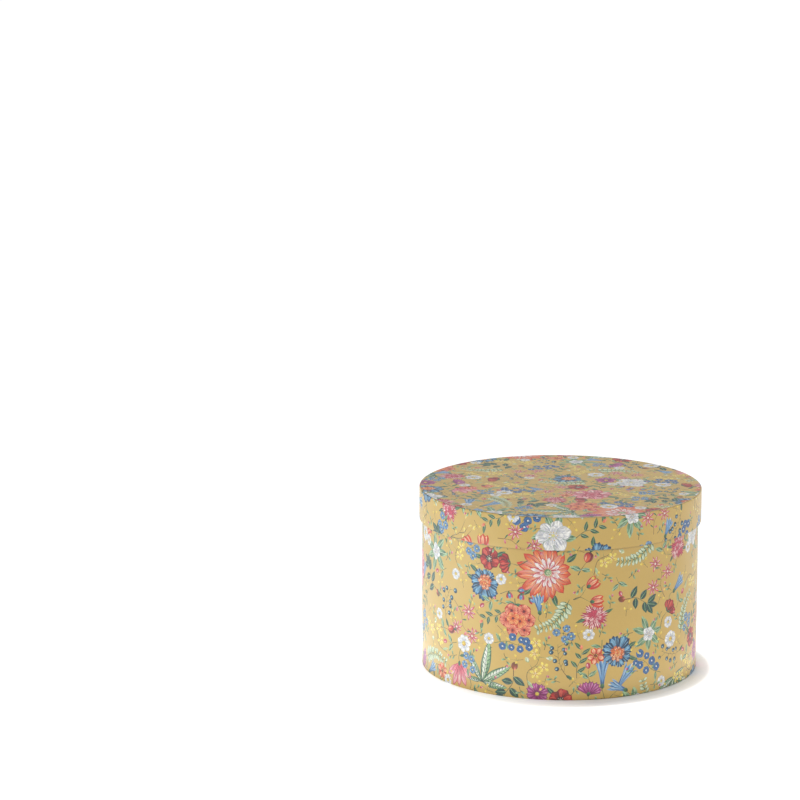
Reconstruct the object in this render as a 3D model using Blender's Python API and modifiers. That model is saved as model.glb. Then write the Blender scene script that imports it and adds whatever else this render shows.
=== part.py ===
"""A round hat box with a lift-off lid, made of greyboard covered in paper.

The body is a rolled board wall around a board disc, and the lid is a board disc
inside a rolled board rim. Printed paper is folded over every raw edge: down into
the body, under its base, up into the lid, and over the lid's top edge. Each
board and each paper is an object of its own.

Units are metres. The origin is the centre of the underside, +Z is up, and the
butt joints of the rolled boards are at the back, towards +Y.
"""

import math

import bmesh
import bpy

# Overall sizes
LID_DIAMETER = 0.300
OVERALL_HEIGHT = 0.195
LID_RIM_DEPTH = 0.035

# Boards and papers
WALL_BOARD = 0.0020
BASE_BOARD = 0.0020
LID_RIM_BOARD = 0.0016
LID_TOP_BOARD = 0.0018
PAPER = 0.00025

# Spaces between pieces
GLUE_GAP = 0.0003
LID_CLEARANCE = 0.0004
BUTT_GAP = 0.0003

# How far each paper is folded over an edge, or stops short of one
WRAP_TURN_IN = 0.015
WRAP_TURN_UNDER = 0.012
LID_TURN_OVER = 0.012
LID_TOP_PAPER_INSET = 0.0012
BASE_COVER_INSET = 0.0017
LINING_BELOW_RIM = 0.006

# Kraft tape over the wall's butt joint
TAPE_WIDTH = 0.040
TAPE_END_GAP = 0.002

# Flats around every round piece, the same on all of them so that they nest
FLATS = 96

LAYER = PAPER + GLUE_GAP

# Radii of the lid, from outside in
LID_RADIUS = LID_DIAMETER / 2
LID_BOARD_RADIUS = LID_RADIUS - LAYER
LID_TURN_IN_RADIUS = LID_BOARD_RADIUS - LID_RIM_BOARD - LAYER
LID_DISC_RADIUS = LID_BOARD_RADIUS - LID_RIM_BOARD - GLUE_GAP

# Radii of the body, from outside in
BODY_RADIUS = LID_TURN_IN_RADIUS - LID_CLEARANCE
WALL_RADIUS = BODY_RADIUS - LAYER
WALL_INNER_RADIUS = WALL_RADIUS - WALL_BOARD
TURN_IN_RADIUS = WALL_INNER_RADIUS - LAYER
LINING_RADIUS = TURN_IN_RADIUS - GLUE_GAP

# Heights of the body, from the underside up
WRAP_BOTTOM = LAYER
BOARD_BOTTOM = WRAP_BOTTOM + LAYER
BASE_LINING_BOTTOM = BOARD_BOTTOM + BASE_BOARD + GLUE_GAP

# Heights of the lid, from the top down
LID_WRAP_TOP = OVERALL_HEIGHT - LAYER
LID_BOARD_TOP = LID_WRAP_TOP - LAYER
LID_DISC_BOTTOM = LID_BOARD_TOP - LID_TOP_BOARD
LID_LINING_BOTTOM = LID_DISC_BOTTOM - LAYER
LID_BOTTOM = OVERALL_HEIGHT - LID_RIM_DEPTH

# The body's rim stops just under the lid's lining, which rests on it
BODY_TOP = LID_LINING_BOTTOM - GLUE_GAP
WALL_TOP = BODY_TOP - LAYER


def clear_scene():
    """Remove every object of the scene that the file opens with."""
    for obj in list(bpy.data.objects):
        bpy.data.objects.remove(obj, do_unlink=True)


def new_collection(name):
    """Return a new collection, linked to the scene."""
    collection = bpy.data.collections.new(name)
    bpy.context.scene.collection.children.link(collection)
    return collection


def new_material(name, colour, roughness):
    """Return a Principled BSDF material of one colour."""
    material = bpy.data.materials.new(name)
    material.use_nodes = True
    shader = material.node_tree.nodes["Principled BSDF"]
    shader.inputs["Base Color"].default_value = (*colour, 1.0)
    shader.inputs["Roughness"].default_value = roughness
    shader.inputs["Metallic"].default_value = 0.0
    material.diffuse_color = (*colour, 1.0)
    return material


def new_object(name, bm, collection, height, parent=None, material=None):
    """Turn a bmesh into a named object on the box's axis, at a height in the world."""
    mesh = bpy.data.meshes.new(name)
    bm.to_mesh(mesh)
    bm.free()
    obj = bpy.data.objects.new(name, mesh)
    collection.objects.link(obj)
    obj.parent = parent
    obj.location.z = height - (parent.location.z if parent else 0.0)
    if material:
        mesh.materials.append(material)
    return obj


def new_origin(name, collection, height):
    """Return an empty on the box's axis, which the pieces of one body hang from."""
    empty = bpy.data.objects.new(name, None)
    empty.empty_display_size = 0.02
    empty.location.z = height
    collection.objects.link(empty)
    return empty


def sheet_outline(face, thickness):
    """Close the section of a folded sheet.

    face holds (radius, z) points along the sheet's outer face, running down the
    outside of the box. The sheet's thickness lies to the right of that line, and
    its corners are mitred.
    """
    headings = []
    for (r0, z0), (r1, z1) in zip(face, face[1:]):
        length = math.hypot(r1 - r0, z1 - z0)
        headings.append(((r1 - r0) / length, (z1 - z0) / length))
    rights = [(dz, -dr) for dr, dz in headings]
    back = []
    for index, (radius, z) in enumerate(face):
        before = rights[max(index - 1, 0)]
        after = rights[min(index, len(rights) - 1)]
        mitre = thickness / (1 + before[0] * after[0] + before[1] * after[1])
        back.append((radius + mitre * (before[0] + after[0]), z + mitre * (before[1] + after[1])))
    return face + back[::-1]


def turned_sheet(name, face, thickness, collection, parent, material):
    """Turn a folded sheet's section once round the box's axis.

    The object's own height is that of the section's lowest point.
    """
    outline = sheet_outline(face, thickness)
    bottom = min(z for _, z in outline)
    bm = bmesh.new()
    corners = [bm.verts.new((radius, 0.0, z - bottom)) for radius, z in outline]
    for corner, following in zip(corners, corners[1:] + corners[:1]):
        bm.edges.new((corner, following))
    obj = new_object(name, bm, collection, bottom, parent, material)
    screw = obj.modifiers.new("Turn", "SCREW")
    screw.axis = "Z"
    screw.angle = math.tau
    screw.steps = FLATS
    screw.render_steps = FLATS
    screw.use_merge_vertices = True
    screw.merge_threshold = 0.00001
    return obj


def disc(name, radius, bottom, thickness, collection, parent, material):
    """Make a flat round piece whose underside is at a given height."""
    bm = bmesh.new()
    bmesh.ops.create_cone(bm, cap_ends=True, segments=FLATS, radius1=radius,
                          radius2=radius, depth=thickness)
    bmesh.ops.translate(bm, verts=bm.verts, vec=(0.0, 0.0, thickness / 2))
    return new_object(name, bm, collection, bottom, parent, material)


def cut_at_back(obj, radius, width, bottom, top, operation, cutters):
    """Cut a turned piece with an upright block that stands across its back.

    DIFFERENCE takes the block's width out of the piece, and INTERSECT keeps only
    what lies inside it.
    """
    overrun = 0.005
    bm = bmesh.new()
    bmesh.ops.create_cube(bm, size=1.0)
    bmesh.ops.scale(bm, verts=bm.verts, vec=(width, 4 * overrun, top - bottom + 2 * overrun))
    bmesh.ops.translate(bm, verts=bm.verts, vec=(0.0, radius, (top - bottom) / 2))
    cutter = new_object(obj.name + "_cutter", bm, cutters, bottom)
    cutter.hide_render = True
    cutter.display_type = "WIRE"
    boolean = obj.modifiers.new("Back", "BOOLEAN")
    boolean.operation = operation
    boolean.solver = "EXACT"
    boolean.object = cutter


def shade_round(obj):
    """Shade a round piece smooth, with its folded edges left sharp."""
    obj.data.shade_smooth()
    obj.data.set_sharp_from_angle(angle=math.radians(30))


def build_body(origin, box, cutters, finishes):
    """Make the pieces of the box's body, from the boards outwards."""
    wall = turned_sheet("wall_board", [(WALL_RADIUS, WALL_TOP), (WALL_RADIUS, BOARD_BOTTOM)],
                        WALL_BOARD, box, origin, finishes["greyboard"])
    cut_at_back(wall, WALL_RADIUS - WALL_BOARD / 2, BUTT_GAP, BOARD_BOTTOM, WALL_TOP,
                "DIFFERENCE", cutters)

    disc("base_board", WALL_INNER_RADIUS - GLUE_GAP, BOARD_BOTTOM, BASE_BOARD,
         box, origin, finishes["greyboard"])

    tape_radius = WALL_INNER_RADIUS - GLUE_GAP
    tape_top = BODY_TOP - WRAP_TURN_IN - TAPE_END_GAP
    tape_bottom = BASE_LINING_BOTTOM + TAPE_END_GAP
    tape = turned_sheet("wall_joint_tape", [(tape_radius, tape_top), (tape_radius, tape_bottom)],
                        PAPER, box, origin, finishes["kraft_tape"])
    cut_at_back(tape, tape_radius, TAPE_WIDTH, tape_bottom, tape_top, "INTERSECT", cutters)

    turned_sheet("body_wrap",
                 [(TURN_IN_RADIUS, BODY_TOP - WRAP_TURN_IN), (TURN_IN_RADIUS, BODY_TOP),
                  (BODY_RADIUS, BODY_TOP), (BODY_RADIUS, WRAP_BOTTOM),
                  (BODY_RADIUS - WRAP_TURN_UNDER, WRAP_BOTTOM)],
                 PAPER, box, origin, finishes["printed_paper"])

    disc("base_cover_paper", BODY_RADIUS - BASE_COVER_INSET, 0.0, PAPER,
         box, origin, finishes["base_paper"])

    turned_sheet("wall_lining",
                 [(LINING_RADIUS, BODY_TOP - LINING_BELOW_RIM), (LINING_RADIUS, BASE_LINING_BOTTOM)],
                 PAPER, box, origin, finishes["lining_paper"])

    disc("base_lining", LINING_RADIUS - LAYER, BASE_LINING_BOTTOM, PAPER,
         box, origin, finishes["lining_paper"])


def build_lid(origin, box, cutters, finishes):
    """Make the pieces of the lid, from the boards outwards."""
    rim_board_bottom = LID_BOTTOM + LAYER
    rim = turned_sheet("lid_rim_board",
                       [(LID_BOARD_RADIUS, LID_BOARD_TOP), (LID_BOARD_RADIUS, rim_board_bottom)],
                       LID_RIM_BOARD, box, origin, finishes["greyboard"])
    cut_at_back(rim, LID_BOARD_RADIUS - LID_RIM_BOARD / 2, BUTT_GAP, rim_board_bottom,
                LID_BOARD_TOP, "DIFFERENCE", cutters)

    disc("lid_top_board", LID_DISC_RADIUS, LID_DISC_BOTTOM, LID_TOP_BOARD,
         box, origin, finishes["greyboard"])

    turned_sheet("lid_rim_wrap",
                 [(LID_RADIUS - LID_TURN_OVER, LID_WRAP_TOP), (LID_RADIUS, LID_WRAP_TOP),
                  (LID_RADIUS, LID_BOTTOM), (LID_TURN_IN_RADIUS, LID_BOTTOM),
                  (LID_TURN_IN_RADIUS, LID_DISC_BOTTOM - GLUE_GAP)],
                 PAPER, box, origin, finishes["printed_paper"])

    disc("lid_top_paper", LID_RADIUS - LID_TOP_PAPER_INSET, OVERALL_HEIGHT - PAPER, PAPER,
         box, origin, finishes["printed_paper"])

    disc("lid_inner_lining", LID_TURN_IN_RADIUS - GLUE_GAP, LID_LINING_BOTTOM, PAPER,
         box, origin, finishes["lining_paper"])


def main():
    clear_scene()
    box = new_collection("hat_box")
    cutters = new_collection("cutters")
    finishes = {
        "greyboard": new_material("greyboard", (0.33, 0.30, 0.26), 0.9),
        "kraft_tape": new_material("kraft_tape", (0.48, 0.30, 0.15), 0.7),
        "printed_paper": new_material("printed_paper", (0.68, 0.47, 0.15), 0.45),
        "base_paper": new_material("base_paper", (0.68, 0.47, 0.15), 0.5),
        "lining_paper": new_material("lining_paper", (0.84, 0.81, 0.74), 0.75),
    }
    body_origin = new_origin("body_origin", box, 0.0)
    lid_origin = new_origin("lid_origin", box, LID_BOTTOM)
    build_body(body_origin, box, cutters, finishes)
    build_lid(lid_origin, box, cutters, finishes)
    for obj in box.objects:
        if obj.type == "MESH":
            shade_round(obj)


main()
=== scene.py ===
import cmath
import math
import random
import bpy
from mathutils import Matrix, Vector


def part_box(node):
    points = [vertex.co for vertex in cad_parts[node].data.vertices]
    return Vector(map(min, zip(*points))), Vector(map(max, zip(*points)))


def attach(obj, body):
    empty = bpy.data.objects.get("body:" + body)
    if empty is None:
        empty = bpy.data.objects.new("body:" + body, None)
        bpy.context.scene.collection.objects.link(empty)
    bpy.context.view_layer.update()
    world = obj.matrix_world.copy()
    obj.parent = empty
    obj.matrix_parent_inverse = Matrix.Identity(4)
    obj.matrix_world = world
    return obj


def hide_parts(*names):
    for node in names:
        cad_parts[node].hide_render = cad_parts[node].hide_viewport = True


bl_info = {
    "name": "Floral Hat Box",
    "version": (1, 0, 0),
    "blender": (4, 5, 0),
    "location": "View3D > Sidebar > Hat Box",
    "description": "Papers, boards and studio for a round lidded hat box",
    "category": "Object",
}

import bpy
import numpy as np
from mathutils import Vector
from mathutils.bvhtree import BVHTree
from mathutils.geometry import delaunay_2d_cdt

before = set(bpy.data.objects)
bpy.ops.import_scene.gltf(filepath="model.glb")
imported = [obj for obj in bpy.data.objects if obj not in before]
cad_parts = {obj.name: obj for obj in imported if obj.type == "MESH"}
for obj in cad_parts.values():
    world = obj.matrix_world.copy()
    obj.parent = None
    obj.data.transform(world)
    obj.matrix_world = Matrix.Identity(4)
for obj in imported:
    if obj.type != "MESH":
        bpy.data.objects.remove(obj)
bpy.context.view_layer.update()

# The print is drawn flat, in millimetres, and lengths on the box are in metres
MM = 0.001
MM_PER_M = 1000.0

BODY = "box_body"
LID = "lid"


# ---------------------------------------------------------------------------
# Sizes and colours that can be changed
# ---------------------------------------------------------------------------

class HATBOX_PG_print(bpy.types.PropertyGroup):
    """The flowered print."""

    ground: bpy.props.FloatVectorProperty(
        name="Ground", description="Colour of the paper between the flowers",
        default=(0.545, 0.362, 0.088), size=3, min=0.0, max=1.0, subtype="COLOR")
    spacing: bpy.props.FloatProperty(
        name="Spacing", description="Least bare ground between two flowers",
        default=0.0002, min=0.0, unit="LENGTH", subtype="DISTANCE")
    flower_size: bpy.props.FloatProperty(
        name="Flower size", description="Size of every flower, as a share of its drawn size",
        default=1.1, min=0.5, max=2.0, subtype="FACTOR")
    mesh_step: bpy.props.FloatProperty(
        name="Mesh step", description="Spacing of the mesh across bare paper",
        default=0.008, min=0.002, unit="LENGTH", subtype="DISTANCE")


class HATBOX_PG_paper(bpy.types.PropertyGroup):
    """The papers and boards."""

    thickness: bpy.props.FloatProperty(
        name="Thickness", description="Thickness of the printed paper",
        default=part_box("lid_top_paper")[1].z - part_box("lid_top_paper")[0].z,
        min=0.0, unit="LENGTH", subtype="DISTANCE")
    fold: bpy.props.FloatProperty(
        name="Fold", description="Outer radius where paper folds over a board's edge",
        default=0.0007, min=0.0001, unit="LENGTH", subtype="DISTANCE")
    lap: bpy.props.FloatProperty(
        name="Lap", description="How far a strip's end laps over its start",
        default=0.010, min=0.0, unit="LENGTH", subtype="DISTANCE")
    dish: bpy.props.FloatProperty(
        name="Dish", description="How far the lid's paper sinks inside the turned-over edge",
        default=0.00012, min=0.0, unit="LENGTH", subtype="DISTANCE")
    lining: bpy.props.FloatVectorProperty(
        name="Lining", description="Colour of the lining paper",
        default=(0.88, 0.855, 0.79), size=3, min=0.0, max=1.0, subtype="COLOR")
    board: bpy.props.FloatVectorProperty(
        name="Board", description="Colour of the greyboard",
        default=(0.33, 0.30, 0.26), size=3, min=0.0, max=1.0, subtype="COLOR")
    tape: bpy.props.FloatVectorProperty(
        name="Tape", description="Colour of the kraft tape",
        default=(0.48, 0.30, 0.15), size=3, min=0.0, max=1.0, subtype="COLOR")


class HATBOX_PG_stage(bpy.types.PropertyGroup):
    """The floor, the lights and the camera."""

    camera_side: bpy.props.FloatProperty(
        name="Camera side", description="How far the camera stands to the box's left",
        default=0.1707, unit="LENGTH", subtype="DISTANCE")
    camera_back: bpy.props.FloatProperty(
        name="Camera distance", description="How far the camera stands in front of the box",
        default=3.46, unit="LENGTH", subtype="DISTANCE")
    camera_height: bpy.props.FloatProperty(
        name="Camera height", description="Height of the camera above the floor",
        default=0.9867, unit="LENGTH", subtype="DISTANCE")
    camera_pitch: bpy.props.FloatProperty(
        name="Camera pitch", description="How far the camera looks down",
        default=math.radians(11.43), subtype="ANGLE", unit="ROTATION")
    lens: bpy.props.FloatProperty(
        name="Lens", description="Focal length of the camera, in millimetres",
        default=150.0, min=1.0)
    glow: bpy.props.FloatProperty(
        name="Floor glow", description="Light that the lit table gives off away from the box",
        default=0.30, min=0.0)
    glow_from: bpy.props.FloatProperty(
        name="Glow from", description="Distance from the middle of the shade where the glow begins",
        default=0.147, min=0.0, unit="LENGTH", subtype="DISTANCE")
    glow_full: bpy.props.FloatProperty(
        name="Full glow", description="Distance from the middle of the shade where the glow is full",
        default=0.164, min=0.0, unit="LENGTH", subtype="DISTANCE")
    far_glow: bpy.props.FloatProperty(
        name="Far glow", description="Further light from the table far from the box",
        default=0.16, min=0.0)
    halo: bpy.props.FloatProperty(
        name="Halo", description="Further light from the table close round the box",
        default=0.8, min=0.0)
    pool: bpy.props.FloatProperty(
        name="Pool of light", description="Further light from the table at the box's left",
        default=1.6, min=0.0)
    surround: bpy.props.FloatProperty(
        name="Surround", description="Brightness of the room around the box", default=0.64, min=0.0)
    key: bpy.props.FloatProperty(
        name="Key light", description="Power of the softbox at the left", default=2.5,
        min=0.0, unit="POWER")
    card: bpy.props.FloatProperty(
        name="Right card", description="Power of the reflecting card at the right",
        default=2.4, min=0.0, unit="POWER")
    top: bpy.props.FloatProperty(
        name="Top light", description="Power of the broad light over the box", default=7.0,
        min=0.0, unit="POWER")


# ---------------------------------------------------------------------------
# Inks, as sRGB hex values
# ---------------------------------------------------------------------------

INKS = {
    "poppy_dark": "6d1016", "poppy": "c42a24", "poppy_light": "e0604a",
    "coal": "2a1c22", "stamen": "d8d2bd",
    "orange_deep": "dc4a1e", "orange": "ee7a3c", "orange_pale": "f8c39a",
    "rust": "a5481c", "apricot": "f0a562",
    "navy": "143a58", "blue": "2c6a98", "blue_pale": "86b8d4",
    "rose_deep": "ae1e42", "rose": "d0445e", "rose_pale": "eea2aa", "blush": "f6d6ce",
    "magenta_deep": "7e1c5e", "magenta": "b84490", "magenta_pale": "e29cc6",
    "coral": "ea6c46", "coral_pale": "f6a07a",
    "bell_deep": "35669c", "bell": "6698c6", "bell_pale": "b8d2e4",
    "sky": "3a74aa", "sky_pale": "86b2d2",
    "berry": "1e4a60", "berry_light": "4f8a9c", "glint": "d6e8ea",
    "lilac": "a2a2b6", "cobalt": "224c84", "coal_blue": "142c3c",
    "white": "f3f1ea", "white_shade": "c6c8d2", "cream": "efe8d4",
    "yellow": "f8e668", "yellow_deep": "e0b238", "bud": "dde2b2",
    "brown": "6e4422", "hip": "9c3a2c",
    "leaf_dark": "173f3c", "leaf_teal": "2a6048", "leaf": "528452", "leaf_light": "a4c694",
    "sage": "94ae7c", "sage_pale": "c8d6a6", "vein": "dbe6c8",
    "stem": "587848", "stem_dark": "2b4a3a", "twig": "7c5c34",
}


def ink(name):
    """An ink as linear red, green and blue."""
    text = INKS[name]
    srgb = [int(text[k:k + 2], 16) / 255 for k in (0, 2, 4)]
    return [c / 12.92 if c <= 0.04045 else ((c + 0.055) / 1.055) ** 2.4 for c in srgb]


# ---------------------------------------------------------------------------
# Drawing with ink
# ---------------------------------------------------------------------------

def ray(length, angle):
    """The point at a distance and an angle from the origin. Points are complex numbers."""
    return cmath.rect(length, angle)


def smooth_path(points, per_span=4):
    """Points along a smooth curve through the given ones."""
    ends = [2 * points[0] - points[1], *points, 2 * points[-1] - points[-2]]
    out = []
    for a, b, c, d in zip(ends, ends[1:], ends[2:], ends[3:]):
        for k in range(per_span):
            t = k / per_span
            out.append(0.5 * (2 * b + (c - a) * t + (2 * a - 5 * b + 4 * c - d) * t * t
                              + (3 * b - a - 3 * c + d) * t ** 3))
    out.append(points[-1])
    return out


class Drawing:
    """Flat shapes of ink, each painted over the last.

    A motif is drawn about the origin. spot and turn then place it on the sheet,
    and turn holds its size as well. Each shape runs from a foot along a reach, and
    its ink changes from one colour at the foot to another at the tip.
    """

    def __init__(self, seed):
        self.dice = random.Random(seed)
        self.spot = 0j
        self.turn = 1 + 0j
        self.outlines = []
        self.feet = []
        self.reaches = []
        self.half_widths = []
        self.roots = []
        self.tips = []

    def vary(self, value, share=0.1):
        """A value a little larger or smaller than the one given."""
        return value * self.dice.uniform(1 - share, 1 + share)

    def shape(self, outline, foot, reach, half_width, root, tip=None):
        placed = [self.spot + p * self.turn for p in outline]
        area = sum((p.conjugate() * q).imag for p, q in zip(placed, placed[1:] + placed[:1]))
        self.outlines.append(placed if area > 0 else placed[::-1])
        self.feet.append(self.spot + foot * self.turn)
        self.reaches.append(reach * self.turn)
        self.half_widths.append(half_width * abs(self.turn))
        self.roots.append(ink(root))
        self.tips.append(ink(tip or root))

    def petal(self, foot, angle, length, width, root, tip=None, belly=0.6, blunt=0.7,
              bend=0.0, wave=0.0, steps=6):
        """A petal or leaf, widest at belly, round for a low blunt and pointed for a high one."""
        power = math.log(0.5) / math.log(belly)
        left, right = [], []
        for k in range(1, steps):
            t = k / steps
            half = width / 2 * math.sin(math.pi * t ** power) ** blunt
            half *= 1 + wave * math.sin(9 * t + foot.real)
            middle = length * complex(t, bend * t * t)
            left.append(middle + half * 1j)
            right.append(middle - half * 1j)
        outline = [0j, *right, length * complex(1, bend), *left[::-1]]
        way = ray(1, angle)
        self.shape([foot + p * way for p in outline], foot, length * way, width / 2, root, tip)

    def fan(self, foot, angle, length, spread, root, tip=None, teeth=3, depth=0.06, round_off=0.3):
        """A broad petal whose outer edge is ruffled into teeth."""
        steps = max(6, 4 * teeth)
        outline = [foot]
        for k in range(steps + 1):
            u = k / steps
            reach = length * (1 - round_off * abs(2 * u - 1) ** 2.6)
            reach *= 1 + depth * (math.cos(math.tau * teeth * u) - 1) / 2
            outline.append(foot + ray(reach, angle + spread * (u - 0.5)))
        half_width = length * math.sin(min(spread, math.pi) / 2)
        self.shape(outline, foot, ray(length, angle), half_width, root, tip)

    def stroke(self, points, width, root, tip=None, taper=0.35):
        """A brush line through points, thinner at its far end."""
        path = smooth_path(points)
        left, right = [], []
        for k, p in enumerate(path):
            ahead = path[min(k + 1, len(path) - 1)] - path[max(k - 1, 0)]
            side = 1j * ahead / (abs(ahead) or 1)
            half = width / 2 * (1 - (1 - taper) * k / (len(path) - 1))
            left.append(p + side * half)
            right.append(p - side * half)
        self.shape(right + left[::-1], points[0], points[-1] - points[0] or 1 + 0j, 40 * width,
                   root, tip)

    def spot_of_ink(self, centre, radius, root, tip=None, sides=8):
        """A round spot, shaded from its lower left to its upper right."""
        start = self.dice.uniform(0, 1)
        outline = [centre + ray(radius, math.tau * (k + start) / sides) for k in range(sides)]
        foot = centre - ray(radius, 0.8)
        self.shape(outline, foot, ray(2 * radius, 0.8), radius, root, tip)

    def leaf(self, foot, angle, length, width, dark, light, vein=None, bend=0.08, belly=0.45):
        """A leaf with one half lighter than the other, and a midrib."""
        self.petal(foot, angle, length, width, dark, light, belly, 0.95, bend)
        lit = foot + ray(0.06 * length, angle)
        self.petal(lit + ray(0.13 * width, angle + math.pi / 2), angle + 0.03, 0.84 * length,
                   0.42 * width, light, dark, belly, 0.9, bend)
        if vein:
            tip = foot + ray(1, angle) * length * complex(0.86, bend * 0.74)
            middle = foot + ray(1, angle) * length * complex(0.45, bend * 0.2)
            self.stroke([foot, middle, tip], 0.055 * width + 0.12, vein)

    def stamens(self, centre, radius, count, colour, size):
        """A ring of small spots."""
        for k in range(count):
            reach = radius * self.dice.uniform(0.75, 1.1)
            self.spot_of_ink(centre + ray(reach, math.tau * k / count), size, colour, sides=5)

    def ring(self, count, start=None):
        """Angles evenly round a circle, each a little off its place."""
        start = self.dice.uniform(0, math.tau) if start is None else start
        step = math.tau / count
        return [start + step * (k + self.dice.uniform(-0.12, 0.12)) for k in range(count)]


# ---------------------------------------------------------------------------
# Motifs, each drawn about the origin in millimetres
# ---------------------------------------------------------------------------

def tilt(angle, lean, amount):
    """How much longer a petal is when its flower leans over towards an angle."""
    return 1 + amount * math.cos(angle - lean)


def dahlia(d):
    lean = -1.4
    peeping_leaves(d, (0.3, 2.2, 2.9, 5.6), 21, 14)
    for angle in d.ring(15):
        length = d.vary(23, 0.08) * tilt(angle, lean, 0.2)
        foot, bend = ray(4, angle), d.dice.uniform(-0.12, 0.12)
        d.petal(foot, angle, 1.05 * length, 9.6, "rust", "poppy", 0.6, 0.8, bend)
        d.petal(foot, angle, length, 8.4, "orange_pale", "orange_deep", 0.6, 0.8, bend)
        d.petal(foot, angle + 0.07, 0.9 * length, 3.0, "apricot", "orange", 0.62, 0.8, bend)
        d.petal(foot + ray(5, angle), angle - 0.08, 0.62 * length, 1.3, "poppy", "orange_deep",
                0.5, 0.9, bend)
        d.petal(foot + ray(5, angle), angle + 0.1, 0.5 * length, 1.1, "blush", "orange_pale",
                0.5, 0.9, bend)
    for angle in d.ring(13):
        length = d.vary(12.5, 0.1) * tilt(angle, lean, 0.15)
        d.petal(ray(3, angle), angle, length, 5.0, "rose_deep", "rose", 0.6, 0.8)
        d.petal(ray(3, angle), angle + 0.04, 0.94 * length, 3.6, "rose_pale", "white", 0.66, 0.7)
        d.petal(ray(3, angle), angle - 0.1, 0.7 * length, 0.8, "rose_deep", "orange", 0.5)
    for angle in d.ring(16):
        d.petal(ray(2, angle), angle, d.vary(7.5, 0.2), 1.7, "rose", "white", 0.7, 0.7,
                d.dice.uniform(-0.25, 0.25))
    d.spot_of_ink(0j, 3.7, "leaf", "sage_pale", 11)
    d.stamens(0j, 2.6, 9, "leaf_teal", 0.5)
    d.stamens(0j, 1.2, 5, "bud", 0.5)


def ruffle(d, radius, dark, middle, pale, teeth=3, depth=0.16):
    """Rings of small ruffled petals, as in a peony or a carnation."""
    for share, count in ((1.0, 9), (0.8, 7), (0.58, 6), (0.34, 4)):
        for angle in d.ring(count):
            reach = radius * share * d.dice.uniform(0.88, 1.06)
            d.fan(0j, angle, reach, 7.8 / count, dark, dark, teeth, depth)
            d.fan(0j, angle + 0.05, 0.93 * reach, 6.4 / count, middle,
                  pale if d.dice.random() < 0.6 else middle, teeth, depth)
            d.fan(0j, angle - 0.12, 0.78 * reach, 2.0 / count, dark, middle, 2, depth)


def blue_anemone(d):
    lean = -1.5
    peeping_leaves(d, (0.5, 2.6, 3.3), 12, 11)
    for angle in d.ring(8):
        reach = d.vary(16, 0.08) * tilt(angle, lean, 0.16)
        d.fan(0j, angle, 1.05 * reach, 1.02, "navy", "navy", 4, 0.1)
        d.fan(0j, angle + 0.05, reach, 0.84, "navy", "blue", 3, 0.1)
        d.fan(0j, angle + 0.12, 0.95 * reach, 0.34, "blue", "blue_pale", 2, 0.1)
        for swing in (-0.3, -0.12, 0.26):
            d.petal(ray(6, angle + swing), angle + swing, d.vary(0.56, 0.1) * reach, 1.0,
                    "navy", "blue_pale", 0.7)
        d.petal(ray(5, angle - 0.2), angle - 0.2, 0.55 * reach, 1.1, "coal", "navy")
    ruffle(d, 8.6, "rust", "orange", "orange_pale")
    d.stamens(0j, 2.4, 6, "yellow", 0.5)


def carnation(d):
    for angle in (-2.2, -1.3, 0.9):
        d.leaf(ray(8, angle), angle, 11, 3.6, "leaf_dark", "leaf", "leaf_light")
    ruffle(d, 14, "rose_deep", "rose", "blush", 4, 0.3)


def peony(d):
    for angle in (0.4, 2.3, 4.1):
        d.leaf(ray(14, angle), angle, 14, 7, "leaf_teal", "leaf", "leaf_light")
    for angle in d.ring(7):
        reach = d.vary(20, 0.08) * tilt(angle, -1.5, 0.12)
        d.fan(0j, angle, 1.03 * reach, 1.25, "rose_deep", "rose", 3, 0.07)
        d.fan(0j, angle, 0.97 * reach, 1.1, "rose", "rose_pale", 3, 0.08)
        d.fan(0j, angle + 0.2, 0.9 * reach, 0.4, "rose", "blush", 2, 0.08)
        d.petal(ray(7, angle - 0.2), angle - 0.2, 0.55 * reach, 1.3, "rose_deep", "rose")
    ruffle(d, 12.5, "rose_deep", "rose", "rose_pale", 2, 0.12)


def white_petals(d, count, radius, spread):
    """A ring of white petals with grey folds."""
    for angle in d.ring(count):
        reach = d.vary(radius, 0.1)
        d.fan(0j, angle, 1.04 * reach, spread, "sage", "white_shade", 2, 0.07)
        d.fan(0j, angle + 0.04, reach, 0.9 * spread, "white_shade", "white", 2, 0.06)
        d.petal(ray(0.3 * reach, angle - 0.25), angle - 0.25, 0.5 * reach, 0.07 * reach,
                "lilac", "white_shade", 0.5)
        d.petal(ray(0.35 * reach, angle + 0.2), angle + 0.1, 0.42 * reach, 0.06 * reach,
                "lilac", "white_shade", 0.5)


def blossom(d):
    for angle in (0.4, 1.0, 2.4, 3.9, 5.3):
        d.leaf(ray(9, angle), angle + 0.2, d.vary(13.5), 7.4, "leaf_teal", "leaf_light", "vein",
               d.dice.uniform(-0.15, 0.2))
    white_petals(d, 6, 15.5, 1.24)
    white_petals(d, 4, 9.2, 1.3)
    for angle in d.ring(9):
        d.stroke([ray(0.8, angle), ray(4, angle)], 0.5, "yellow_deep", "bud")
    d.stamens(0j, 4.2, 9, "yellow_deep", 0.6)
    d.spot_of_ink(0j, 1.4, "sage_pale", "yellow")


def leafy_blossom(d):
    for angle in d.ring(7, 0.2):
        d.leaf(ray(3, angle), angle, d.vary(17, 0.15), 7.4, "leaf_teal", "leaf_light", "vein",
               d.dice.uniform(-0.18, 0.18))
    white_petals(d, 5, 7.6, 1.4)
    d.stamens(0j, 1.9, 6, "yellow_deep", 0.5)


def peeping_leaves(d, angles, reach, length):
    """Leaves that show from behind a flower."""
    for angle in angles:
        d.leaf(ray(reach, angle), angle + d.dice.uniform(-0.3, 0.3), d.vary(length), 0.42 * length,
               "leaf_dark", "leaf", "leaf_light", d.dice.uniform(-0.15, 0.15))


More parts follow.
